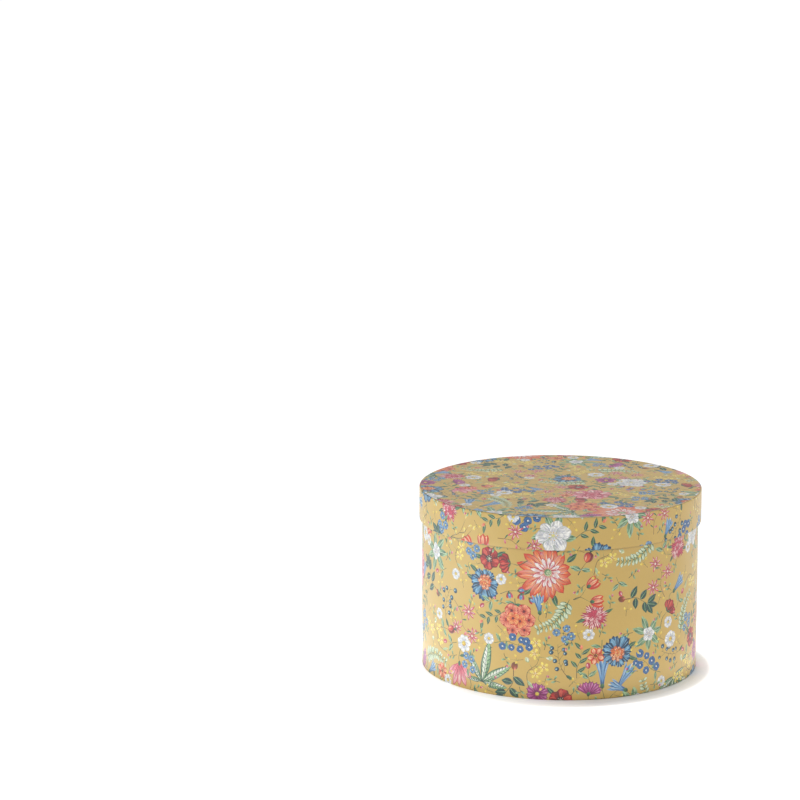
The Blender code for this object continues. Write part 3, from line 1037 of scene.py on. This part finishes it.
def sheet_mesh(name, drawing, outline, points, edges, zone, place, thickness, unroll):
    """Make a closed sheet of paper, printed on its outer face.

    outline, points and edges are the flat sheet's border and the lines that its
    mesh needs, and zone numbers the areas between those lines. place turns flat points
    into places on the box and normals, and unroll gives each face's spot in the
    paper's flat map.
    """
    all_points = [*outline, *points]
    faces = [list(range(len(outline)))]
    for shape in drawing.outlines:
        faces.append(list(range(len(all_points), len(all_points) + len(shape))))
        all_points.extend(shape)
    flat, sources, front, top = triangulate(all_points, edges, faces)
    plain = len(outline) + len(points)
    fixed = [any(source < plain for source in found) for found in sources]
    label = top * ZONES + zone(flat[front].mean(1))
    flat, front, found = thin_out(flat, front, label, fixed)
    top = top[found]

    # The back has the same border and a mesh of its own, without the print
    rim = border_of(front)
    ring = np.unique(rim)
    where = {int(v): k for k, v in enumerate(ring)}
    ring_points = [complex(*flat[v]) for v in ring]
    ring_edges = [(where[int(a)], where[int(b)]) for a, b in rim]
    order = [ring_edges[0][0]]
    following = dict(ring_edges)
    while len(order) < len(ring_edges):
        order.append(following[order[-1]])
    shift = len(ring_points)
    inner = [(a - len(outline) + shift, b - len(outline) + shift) for a, b in edges
             if a >= len(outline) and b >= len(outline)]
    back_flat, sources, back, _ = triangulate([*ring_points, *points], inner, [order])
    twin = {}
    for index, found in enumerate(sources):
        for source in found:
            twin.setdefault(source, index)

    front_places, front_normals = place(flat)
    back_places, back_normals = place(back_flat)
    back_places = back_places - back_normals * thickness
    used = len(flat)
    triangles = [front, back[:, ::-1] + used]
    sides = []
    for a, b in rim:
        c, d = twin[where[int(b)]] + used, twin[where[int(a)]] + used
        sides += [(b, a, d), (b, d, c)]
    triangles.append(np.array(sides))
    every = np.concatenate(triangles)

    mesh = bpy.data.meshes.new(name)
    vertices = np.concatenate([front_places, back_places])
    kept = np.unique(every)
    renumber = np.zeros(len(vertices), int)
    renumber[kept] = np.arange(len(kept))
    mesh.vertices.add(len(kept))
    mesh.vertices.foreach_set("co", vertices[kept].astype(np.float32).ravel())
    mesh.loops.add(every.size)
    mesh.loops.foreach_set("vertex_index", renumber[every].astype(np.int32).ravel())
    mesh.polygons.add(len(every))
    mesh.polygons.foreach_set("loop_start", np.arange(0, every.size, 3, dtype=np.int32))
    plain_faces = len(every) - len(front)
    finish_of = np.repeat([0, 1], [len(front), plain_faces]).astype(np.int32)
    mesh.polygons.foreach_set("material_index", finish_of)
    mesh.update(calc_edges=True)

    inks = ink_attributes(drawing, flat, front, top)
    for label, values in inks.items():
        full = np.zeros((every.size, values.shape[1]), np.float32)
        full[:values.shape[0]] = values
        kind = "FLOAT_COLOR" if values.shape[1] == 4 else "FLOAT_VECTOR"
        layer = mesh.attributes.new(label, kind, "CORNER")
        layer.data.foreach_set("color" if kind == "FLOAT_COLOR" else "vector", full.ravel())

    both = np.concatenate([flat, back_flat])
    uv = unroll(both, every, len(front))
    layer = mesh.uv_layers.new(name="OFBake")
    layer.uv.foreach_set("vector", uv.astype(np.float32).ravel())
    mesh.shade_smooth()
    mesh.set_sharp_from_angle(angle=SHARP)
    return mesh


SEED_STEP = 0.618  # between the seeds of one shape's brush streaks and the next one's


def ink_attributes(drawing, flat, front, top):
    """Root ink, tip ink and place along and across its shape, for each corner of the print."""
    corners = flat[front.ravel()]
    points = corners[:, 0] + 1j * corners[:, 1]
    shape = np.repeat(top, 3) - 1
    inked = shape >= 0
    count = len(points)
    root = np.zeros((count, 4), np.float32)
    tip = np.zeros((count, 4), np.float32)
    spot = np.zeros((count, 3), np.float32)
    chosen = shape[inked]
    reach = np.array(drawing.reaches)[chosen]
    local = (points[inked] - np.array(drawing.feet)[chosen]) / reach
    across = local.imag * np.abs(reach) / np.array(drawing.half_widths)[chosen]
    root[inked, :3] = np.array(drawing.roots)[chosen]
    tip[inked, :3] = np.array(drawing.tips)[chosen]
    root[inked, 3] = tip[inked, 3] = 1.0
    spot[inked] = np.stack([local.real, across, 1.0 + chosen * SEED_STEP], 1)
    return {"ink_root": root, "ink_tip": tip, "ink_place": spot}


MARGIN = 8.0  # motifs may lie this far past a sheet's edge, which trims them
LAP_START, LAP_END = 1.0, 1.6  # where the strip under a lap begins and ends to sink, in laps
PRESSED = 1.08  # how far it sinks, in thicknesses of paper


def wrapped_strip(name, path, radius, settings, paper, seed):
    """Print a strip and wrap it round the box, folded along a section and lapped at the back.

    The strip's start lies under its end, pressed down by the paper's thickness.
    """
    girth = math.tau * radius
    length = (girth + paper.lap) * MM_PER_M
    width = path.length * MM_PER_M
    lap = paper.lap * MM_PER_M
    drawing = Drawing(seed)
    scatter(drawing, complex(-MARGIN, -MARGIN), complex(length + MARGIN, width + MARGIN),
            settings.spacing * MM_PER_M, settings.flower_size)

    step = settings.mesh_step * MM_PER_M
    columns = np.linspace(0, length, 2 * round(length / step / 2) + 1)
    fold_rows = [t * MM_PER_M for t in path.rows]
    stops = [0.0, *fold_rows, width]
    rows = []
    for start, end in zip(stops, stops[1:]):
        count = max(1, round((end - start) / step))
        rows += [start + (end - start) * k / count for k in range(count)]
    rows.append(width)
    points = [complex(x, y) for y in rows for x in columns]
    across = len(columns)
    half_length = columns[across // 2]

    outline = [complex(0, 0), complex(length, 0), complex(length, width), complex(0, width)]
    first = len(outline)
    edges = []
    folded = {round(t, 6) for t in fold_rows}
    for j, y in enumerate(rows):
        if round(y, 6) in folded:
            edges += [(first + j * across + i, first + j * across + i + 1)
                      for i in range(across - 1)]
    middle = across // 2
    edges += [(first + j * across + middle, first + (j + 1) * across + middle)
              for j in range(len(rows) - 1)]

    def place(flat):
        sections = {}
        for t in set(flat[:, 1].round(6)):
            sections[t] = path.at(t * MM)
        found = [sections[t] for t in flat[:, 1].round(6)]
        section = np.array([p for p, _ in found])
        normal = np.array([n for _, n in found])
        angle = math.pi / 2 + flat[:, 0] * MM / radius
        under = np.clip((LAP_END * lap - flat[:, 0]) / ((LAP_END - LAP_START) * lap), 0, 1)
        under = eased(under) * PRESSED * paper.thickness
        section = section - normal * under[:, None]
        places = np.stack([section[:, 0] * np.cos(angle), section[:, 0] * np.sin(angle),
                           section[:, 1]], 1)
        normals = np.stack([normal[:, 0] * np.cos(angle), normal[:, 0] * np.sin(angle),
                            normal[:, 1]], 1)
        return places, normals

    def zone(spots):
        return 2 * np.searchsorted(fold_rows, spots[:, 1]) + (spots[:, 0] > half_length)

    def unroll(flat, faces, printed):
        return strip_map(flat, faces, printed, length, width, half_length)

    mesh = sheet_mesh(name, drawing, outline, points, edges, zone, place, paper.thickness, unroll)
    return bpy.data.objects.new(name, mesh)


BACK_BAND = 0.08  # share of a strip's map that its back takes
MAP_GAP = 0.01


def strip_map(flat, faces, printed, length, width, half_length):
    """Lay a printed strip out flat, its halves as two rows and its back in a thin band below."""
    corner = flat[faces]
    second = corner[:, :, 0].mean(1) > half_length
    x = corner[:, :, 0] - np.where(second, half_length, 0)[:, None]
    y = corner[:, :, 1]
    tall = (1 - BACK_BAND) / 2
    wide = 1 - 2 * MAP_GAP
    scale = min(wide / (length / 2), (tall - MAP_GAP) / width)
    u = MAP_GAP + x * scale
    v = BACK_BAND + y * scale + np.where(second, tall, 0)[:, None]
    is_back = np.arange(len(faces)) >= printed
    u[is_back] = MAP_GAP + wide * corner[is_back][:, :, 0] / length
    v[is_back] = MAP_GAP / 2 + (BACK_BAND - 1.5 * MAP_GAP) * corner[is_back][:, :, 1] / width
    return np.stack([u, v], 2).reshape(-1, 2)


DISC_SIDES = 240
STEP_WIDTH = 0.0032  # of the soft step where the disc goes over the edge of the paper below
WORN = 0.0004  # width of the disc's worn edge


def printed_disc(name, radius, height, inner_radius, settings, paper, seed):
    """Print a disc of paper that lies flat, and sinks a little inside inner_radius."""
    reach = radius * MM_PER_M
    drawing = Drawing(seed)
    corner = complex(reach + MARGIN, reach + MARGIN)
    scatter(drawing, -corner, corner, settings.spacing * MM_PER_M, settings.flower_size,
            lambda spots: np.abs(spots) < reach + MARGIN)
    outline = [ray(reach, math.tau * k / DISC_SIDES) for k in range(DISC_SIDES)]
    step = settings.mesh_step * MM_PER_M
    points = [0j]
    rings = [(inner_radius + k * STEP_WIDTH / 4) * MM_PER_M for k in range(-2, 3)]
    spread = [step * k for k in range(1, int((rings[0] - step / 2) / step) + 1)]
    for size in [*spread, *rings, (rings[-1] + reach) / 2]:
        sides = max(12, round(math.tau * size / step))
        points += [ray(size, math.tau * k / sides) for k in range(sides)]

    def place(flat):
        r = np.hypot(flat[:, 0], flat[:, 1]) * MM
        sunk = np.clip((inner_radius + STEP_WIDTH / 2 - r) / STEP_WIDTH, 0, 1)
        sunk = eased(sunk) * paper.dish
        edge = np.clip((r - (radius - WORN)) / WORN, 0, 1) ** 2 * WORN / 10
        places = np.stack([flat[:, 0] * MM, flat[:, 1] * MM, height - sunk - edge], 1)
        normals = np.tile([0.0, 0.0, 1.0], (len(flat), 1))
        return places, normals

    def unroll(flat, faces, printed):
        at = flat[faces] / (2 * reach)
        u = 0.5 + at[:, :, 0] * 0.9
        v = 0.54 + at[:, :, 1] * 0.9
        is_back = np.arange(len(faces)) >= printed
        u[is_back] = 0.5 + at[is_back][:, :, 0] * 0.96
        v[is_back] = 0.04 + at[is_back][:, :, 1] * 0.06
        return np.stack([u, v], 2).reshape(-1, 2)

    def zone(spots):
        return np.zeros(len(spots), int)

    mesh = sheet_mesh(name, drawing, outline, points, [], zone, place, paper.thickness, unroll)
    return bpy.data.objects.new(name, mesh)


# ---------------------------------------------------------------------------
# Finishes
# ---------------------------------------------------------------------------

class Nodes:
    """Short ways to add and link a material's nodes."""

    def __init__(self, name):
        self.material = bpy.data.materials.new(name)
        self.material.use_nodes = True
        self.tree = self.material.node_tree
        self.shader = self.tree.nodes["Principled BSDF"]

    def add(self, kind, inputs=None, **settings):
        node = self.tree.nodes.new(kind)
        for key, value in settings.items():
            setattr(node, key, value)
        for key, value in (inputs or {}).items():
            if isinstance(value, bpy.types.NodeSocket):
                self.tree.links.new(value, node.inputs[key])
            else:
                node.inputs[key].default_value = value
        return node

    def maths(self, operation, *values):
        return self.add("ShaderNodeMath", dict(enumerate(values)), operation=operation).outputs[0]

    def grey(self, tone):
        """A grey of this tone, to multiply a colour by."""
        return self.add("ShaderNodeCombineColor", {0: tone, 1: tone, 2: tone}).outputs[0]

    def mix(self, factor, first, second, blend="MIX"):
        node = self.add("ShaderNodeMix", data_type="RGBA", blend_type=blend)
        for socket, value in ((node.inputs[0], factor), (node.inputs[6], first),
                              (node.inputs[7], second)):
            if isinstance(value, bpy.types.NodeSocket):
                self.tree.links.new(value, socket)
            else:
                socket.default_value = value
        return node.outputs[2]

    def noise(self, place, scale, detail=4.0, roughness=0.55):
        node = self.add("ShaderNodeTexNoise", {"Vector": place, "Scale": scale, "Detail": detail,
                                               "Roughness": roughness})
        return node.outputs["Fac"]

    def ramp(self, value, low, high, out_low=0.0, out_high=1.0):
        node = self.add("ShaderNodeMapRange", {"Value": value, "From Min": low, "From Max": high,
                                               "To Min": out_low, "To Max": out_high})
        return node.outputs[0]

    def bump(self, height, distance, strength=1.0, normal=None):
        inputs = {"Height": height, "Distance": distance, "Strength": strength}
        if normal:
            inputs["Normal"] = normal
        return self.add("ShaderNodeBump", inputs).outputs[0]

    def finish(self, colour, roughness, normal, gloss):
        self.tree.links.new(colour, self.shader.inputs["Base Color"])
        self.tree.links.new(roughness, self.shader.inputs["Roughness"])
        self.tree.links.new(normal, self.shader.inputs["Normal"])
        self.shader.inputs["Specular IOR Level"].default_value = gloss
        return self.material


def object_place(nodes):
    return nodes.add("ShaderNodeTexCoord").outputs["Object"]


RIM_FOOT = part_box("lid_rim_wrap")[0][2]  # height of the rim's lower edge
# A painted shade line under the lid rim's lower edge, in place of the rim's shadow; it stays on the
# body when the lid is lifted
RIM_SHADE_DROP = 0.0005  # how far under that edge the painted shade line is darkest
RIM_SHADE_WIDTH = 0.0016
RIM_SHADE_TONE = 0.66
PAINT_EDGE = (0.93, 0.9, 0.84, 1.0)  # where the paint thins out at a shape's edges
PAPER_BACK = (0.82, 0.79, 0.72)


def printed_paper(ground):
    """Satin paper with the print on it, brushed along each petal and grained like paper."""
    nodes = Nodes("printed_satin_paper")
    place = object_place(nodes)
    root = nodes.add("ShaderNodeAttribute", attribute_name="ink_root")
    tip = nodes.add("ShaderNodeAttribute", attribute_name="ink_tip")
    spot = nodes.add("ShaderNodeAttribute", attribute_name="ink_place")
    along, across, seed = nodes.add("ShaderNodeSeparateXYZ", {0: spot.outputs["Vector"]}).outputs
    inked = nodes.maths("MINIMUM", seed, 1.0)

    # Brush streaks run along each shape, finer across it than along it
    brushed = nodes.add("ShaderNodeCombineXYZ", {
        0: nodes.maths("MULTIPLY", along, 1.3), 1: nodes.maths("MULTIPLY", across, 3.2), 2: seed})
    streak = nodes.noise(brushed.outputs[0], 1.6, 3.0, 0.6)
    blot = nodes.noise(place, 420.0, 2.0)
    wander = nodes.maths("ADD", along, nodes.ramp(streak, 0.25, 0.75, -0.34, 0.34))
    shade = nodes.ramp(wander, 0.12, 0.88)
    paint = nodes.mix(shade, root.outputs["Color"], tip.outputs["Color"])
    light = nodes.ramp(streak, 0.3, 0.7, 0.50, 1.14)
    light = nodes.maths("MULTIPLY", light, nodes.ramp(blot, 0.3, 0.7, 0.9, 1.1))
    paint = nodes.mix(1.0, paint, nodes.grey(light), "MULTIPLY")
    edge = nodes.ramp(nodes.maths("ABSOLUTE", across), 0.72, 1.0, 0.0, 0.16)
    paint = nodes.mix(edge, paint, PAINT_EDGE)

    cloud = nodes.noise(place, 28.0, 3.0)
    fibre = nodes.noise(place, 900.0, 2.0)
    tone = nodes.maths("ADD", nodes.ramp(cloud, 0.3, 0.7, 0.97, 1.03),
                       nodes.ramp(fibre, 0.3, 0.7, -0.02, 0.02))
    bare = nodes.mix(1.0, (*ground, 1.0), nodes.grey(tone), "MULTIPLY")
    colour = nodes.mix(inked, bare, paint)

    # Painted shade: a dark line on the paper just under the height where the lid's rim ends,
    # standing in for the shadow under the rim's edge
    height = nodes.add("ShaderNodeSeparateXYZ", {0: place}).outputs[2]
    off_shade_line = nodes.maths("ABSOLUTE", nodes.maths("SUBTRACT", height, RIM_FOOT - RIM_SHADE_DROP))
    rim_shade = nodes.ramp(off_shade_line, 0.0, RIM_SHADE_WIDTH, RIM_SHADE_TONE, 1.0)
    colour = nodes.mix(1.0, colour, nodes.grey(rim_shade), "MULTIPLY")

    slow = nodes.noise(place, 34.0, 2.0)
    normal = nodes.bump(slow, 0.00035, 0.25)
    normal = nodes.bump(fibre, 0.00003, 0.35, normal)
    rough = nodes.maths("ADD", nodes.ramp(fibre, 0.3, 0.7, 0.32, 0.38),
                        nodes.maths("MULTIPLY", inked, 0.03))
    return nodes.finish(colour, rough, normal, gloss=0.8)


def paper_stock(name, colour, roughness, speck=0.03):
    """Plain paper, with cloudy formation and short fibres."""
    nodes = Nodes(name)
    place = object_place(nodes)
    cloud = nodes.noise(place, 60.0, 4.0)
    fibre = nodes.noise(place, 1400.0, 3.0, 0.65)
    tone = nodes.maths("ADD", nodes.ramp(cloud, 0.3, 0.7, 1 - speck, 1 + speck),
                       nodes.ramp(fibre, 0.3, 0.7, -speck, speck))
    paint = nodes.mix(1.0, (*colour, 1.0), nodes.grey(tone), "MULTIPLY")
    normal = nodes.bump(cloud, 0.0002, 0.2)
    normal = nodes.bump(fibre, 0.00004, 0.4, normal)
    return nodes.finish(paint, nodes.ramp(fibre, 0.3, 0.7, roughness - 0.05, roughness + 0.05),
                        normal, gloss=0.4)


def greyboard(colour):
    """Recycled board: grey-brown pulp with light and dark flecks."""
    nodes = Nodes("greyboard")
    place = object_place(nodes)
    pulp = nodes.noise(place, 260.0, 6.0, 0.7)
    fleck = nodes.noise(place, 1500.0, 2.0, 0.8)
    tone = nodes.maths("ADD", nodes.ramp(pulp, 0.3, 0.7, 0.86, 1.14),
                       nodes.ramp(fleck, 0.62, 0.72, 0.0, 0.3))
    tone = nodes.maths("SUBTRACT", tone, nodes.ramp(fleck, 0.38, 0.3, 0.0, 0.3))
    paint = nodes.mix(1.0, (*colour, 1.0), nodes.grey(tone), "MULTIPLY")
    normal = nodes.bump(pulp, 0.00012, 0.6)
    return nodes.finish(paint, nodes.ramp(pulp, 0.3, 0.7, 0.84, 0.94), normal,
                        gloss=0.3)


# ---------------------------------------------------------------------------
# Pieces
# ---------------------------------------------------------------------------

BODY_SEED, RIM_SEED, TOP_SEED = 12, 23, 37  # each sheet's own scatter of motifs


def shared_material(name, make, *args):
    return bpy.data.materials.get(name) or make(*args)


def add_piece(obj, body, slot, *replaced):
    if not obj.data.polygons:
        raise RuntimeError(f"{obj.name} has no faces")
    bpy.context.scene.collection.objects.link(obj)
    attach(obj, body)
    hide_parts(*replaced)


def dress(obj, context):
    """Give a printed sheet its printed face and its plain back."""
    settings = context.scene.hatbox_print
    printed = shared_material("printed_satin_paper", printed_paper, settings.ground)
    plain = shared_material("plain_paper_back", paper_stock, "plain_paper_back", PAPER_BACK, 0.75)
    obj.data.materials.append(printed)
    obj.data.materials.append(plain)


def finish_node(node, material):
    """Give a CAD node a better material."""
    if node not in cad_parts:
        raise RuntimeError(f"the frame has no node named {node}")
    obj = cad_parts[node]
    obj.data.materials.clear()
    obj.data.materials.append(material)


class HATBOX_OT_body_wrap(bpy.types.Operator):
    """Wrap the printed strip round the body"""

    bl_idname = "hatbox.body_wrap"
    bl_label = "Body Wrap"

    def execute(self, context):
        settings, paper = context.scene.hatbox_print, context.scene.hatbox_paper
        outer, turn_in, top = level_radii("body_wrap", True)
        _, turn_under, bottom = level_radii("body_wrap", False)
        turn_end = min(z for r, z in section_points("body_wrap") if abs(r - turn_in) < MM / 20)
        corners = [(turn_under, bottom), (outer, bottom), (outer, top), (turn_in, top),
                   (turn_in, turn_end)]
        path = FoldedPath(corners, paper.fold)
        wrap = wrapped_strip("body_printed_wrap", path, outer, settings, paper, BODY_SEED)
        dress(wrap, context)
        add_piece(wrap, BODY, "printed_paper", "body_wrap")
        return {"FINISHED"}


class HATBOX_OT_lid_rim_wrap(bpy.types.Operator):
    """Wrap the printed strip round the lid's rim"""

    bl_idname = "hatbox.lid_rim_wrap"
    bl_label = "Lid Rim Wrap"

    def execute(self, context):
        settings, paper = context.scene.hatbox_print, context.scene.hatbox_paper
        outer, turn_over, top = level_radii("lid_rim_wrap", True)
        _, turn_in, bottom = level_radii("lid_rim_wrap", False)
        turn_end = max(z for r, z in section_points("lid_rim_wrap") if abs(r - turn_in) < MM / 20)
        corners = [(turn_in, turn_end), (turn_in, bottom), (outer, bottom), (outer, top),
                   (turn_over, top)]
        path = FoldedPath(corners, paper.fold)
        wrap = wrapped_strip("lid_printed_rim_wrap", path, outer, settings, paper, RIM_SEED)
        dress(wrap, context)
        add_piece(wrap, LID, "printed_paper", "lid_rim_wrap")
        return {"FINISHED"}


class HATBOX_OT_lid_top_paper(bpy.types.Operator):
    """Lay the printed disc on the lid"""

    bl_idname = "hatbox.lid_top_paper"
    bl_label = "Lid Top Paper"

    def execute(self, context):
        settings, paper = context.scene.hatbox_print, context.scene.hatbox_paper
        low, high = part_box("lid_top_paper")
        _, turn_over, _ = level_radii("lid_rim_wrap", True)
        disc = printed_disc("lid_printed_top", high.x, high.z, turn_over, settings, paper,
                            TOP_SEED)
        dress(disc, context)
        add_piece(disc, LID, "printed_paper", "lid_top_paper")
        return {"FINISHED"}


class HATBOX_OT_linings(bpy.types.Operator):
    """Finish the plain papers inside the box and under it"""

    bl_idname = "hatbox.linings"
    bl_label = "Linings"

    def execute(self, context):
        paper = context.scene.hatbox_paper
        lining = paper_stock("lining_paper_stock", paper.lining, 0.72)
        for node in ("wall_lining", "base_lining", "lid_inner_lining"):
            finish_node(node, lining)
        ground = context.scene.hatbox_print.ground
        finish_node("base_cover_paper", paper_stock("base_paper_stock", ground, 0.5))
        return {"FINISHED"}


class HATBOX_OT_boards(bpy.types.Operator):
    """Finish the boards and the kraft tape over the wall's joint"""

    bl_idname = "hatbox.boards"
    bl_label = "Boards and Tape"

    def execute(self, context):
        paper = context.scene.hatbox_paper
        board = greyboard(paper.board)
        for node in ("wall_board", "base_board", "lid_rim_board", "lid_top_board"):
            finish_node(node, board)
        finish_node("wall_joint_tape", paper_stock("kraft_tape_stock", paper.tape, 0.65, 0.08))
        return {"FINISHED"}


# ---------------------------------------------------------------------------
# Stage
# ---------------------------------------------------------------------------

AIM = (0.0, 0.0, 0.1)  # the lights face this place
FLOOR_SIZE = 80.0
FLOOR_WHITE = (0.93, 0.93, 0.93, 1.0)
WHITE = (1.0, 1.0, 1.0, 1.0)
POOL_TINT = (0.80, 0.92, 1.0, 1.0)
POOL_PLACE = (-0.55, -0.14, 0.0)
POOL_EDGE, POOL_HEART = 0.58, 0.12  # distances from there where its light starts and is full
SHADE_PLACE = (0.0, -0.010, 0.0)  # middle of the ring of shade, a little in front of the box's axis
HALO_START, HALO_FULL, HALO_END = 0.158, 0.172, 0.27  # distances from the middle of the ring
FAR_START, FAR_FULL = 0.4, 1.6


def add_light(name, place, size, power):
    light = bpy.data.lights.new(name, "AREA")
    light.shape = "RECTANGLE"
    light.size, light.size_y = size
    light.energy = power
    obj = bpy.data.objects.new(name, light)
    obj.location = place
    obj.rotation_euler = (Vector(AIM) - Vector(place)).to_track_quat("-Z", "Y").to_euler()
    bpy.context.scene.collection.objects.link(obj)


def lit_table(stage):
    """White floor that gives off light, but for a ring of shade at the box's foot."""
    nodes = Nodes("floor_white")
    nodes.shader.inputs["Base Color"].default_value = FLOOR_WHITE
    nodes.shader.inputs["Roughness"].default_value = 0.9
    nodes.shader.inputs["Specular IOR Level"].default_value = 0.0
    place = object_place(nodes)
    reach = nodes.add("ShaderNodeVectorMath", {0: place, 1: SHADE_PLACE},
                      operation="DISTANCE").outputs["Value"]
    away = nodes.add("ShaderNodeVectorMath", {0: place, 1: POOL_PLACE},
                     operation="DISTANCE").outputs["Value"]
    near = nodes.ramp(away, POOL_EDGE, POOL_HEART)
    halo = nodes.maths("MULTIPLY", nodes.ramp(reach, HALO_START, HALO_FULL, 0.0, stage.halo),
                       nodes.ramp(reach, HALO_FULL, HALO_END, 1.0, 0.0))
    glow = nodes.ramp(reach, stage.glow_from, stage.glow_full, 0.0, stage.glow)
    for part in (nodes.maths("MULTIPLY", near, stage.pool), halo,
                 nodes.ramp(reach, FAR_START, FAR_FULL, 0.0, stage.far_glow)):
        glow = nodes.maths("ADD", glow, part)
    nodes.tree.links.new(glow, nodes.shader.inputs["Emission Strength"])
    nodes.tree.links.new(nodes.mix(near, WHITE, POOL_TINT), nodes.shader.inputs["Emission Color"])
    return nodes.material


class HATBOX_OT_stage(bpy.types.Operator):
    """Set the floor, the lights and the camera round the box"""

    bl_idname = "hatbox.stage"
    bl_label = "Stage"

    def execute(self, context):
        scene, stage = context.scene, context.scene.hatbox_stage
        bpy.ops.mesh.primitive_plane_add(size=FLOOR_SIZE, location=(0.0, 0.0, 0.0))
        floor = context.active_object
        floor.name = "floor"
        floor.data.materials.append(lit_table(stage))

        world = bpy.data.worlds.new("surround")
        world.use_nodes = True
        background = world.node_tree.nodes["Background"]
        background.inputs["Color"].default_value = WHITE
        background.inputs["Strength"].default_value = stage.surround
        scene.world = world
        add_light("key_softbox", (-1.7, -0.35, 0.7), (0.7, 1.2), stage.key)
        add_light("top_light", (0.2, 0.4, 1.9), (1.4, 1.4), stage.top)
        add_light("right_card", (1.65, -0.8, 0.6), (0.8, 1.0), stage.card)

        camera = bpy.data.cameras.new("camera")
        camera.sensor_width = 36.0
        camera.lens = stage.lens
        camera.clip_end = 200.0
        obj = bpy.data.objects.new("camera", camera)
        obj.location = (-stage.camera_side, -stage.camera_back, stage.camera_height)
        obj.rotation_euler = (math.pi / 2 - stage.camera_pitch, 0.0, 0.0)
        scene.collection.objects.link(obj)
        scene.camera = obj
        scene.view_settings.view_transform = "Standard"
        return {"FINISHED"}


class HATBOX_PT_panel(bpy.types.Panel):
    """The hat box's sizes, colours and steps"""

    bl_label = "Hat Box"
    bl_idname = "HATBOX_PT_panel"
    bl_space_type = "VIEW_3D"
    bl_region_type = "UI"
    bl_category = "Hat Box"

    def draw(self, context):
        layout = self.layout
        for group in ("hatbox_print", "hatbox_paper", "hatbox_stage"):
            settings = getattr(context.scene, group)
            box = layout.box()
            for name in settings.bl_rna.properties.keys():
                if name not in ("rna_type", "name"):
                    box.prop(settings, name)
        for operator in OPERATORS:
            layout.operator(operator.bl_idname)


GROUPS = {
    "hatbox_print": HATBOX_PG_print,
    "hatbox_paper": HATBOX_PG_paper,
    "hatbox_stage": HATBOX_PG_stage,
}
OPERATORS = (
    HATBOX_OT_body_wrap,
    HATBOX_OT_lid_rim_wrap,
    HATBOX_OT_lid_top_paper,
    HATBOX_OT_linings,
    HATBOX_OT_boards,
    HATBOX_OT_stage,
)


def register():
    for cls in (*GROUPS.values(), *OPERATORS, HATBOX_PT_panel):
        bpy.utils.register_class(cls)
    for name, cls in GROUPS.items():
        setattr(bpy.types.Scene, name, bpy.props.PointerProperty(type=cls))


def unregister():
    for name in GROUPS:
        delattr(bpy.types.Scene, name)
    for cls in (HATBOX_PT_panel, *reversed(OPERATORS), *reversed(GROUPS.values())):
        bpy.utils.unregister_class(cls)


def main():
    register()
    bpy.ops.hatbox.body_wrap()
    bpy.ops.hatbox.lid_rim_wrap()
    bpy.ops.hatbox.lid_top_paper()
    bpy.ops.hatbox.linings()
    bpy.ops.hatbox.boards()
    bpy.ops.hatbox.stage()


if __name__ == "__main__":
    main()
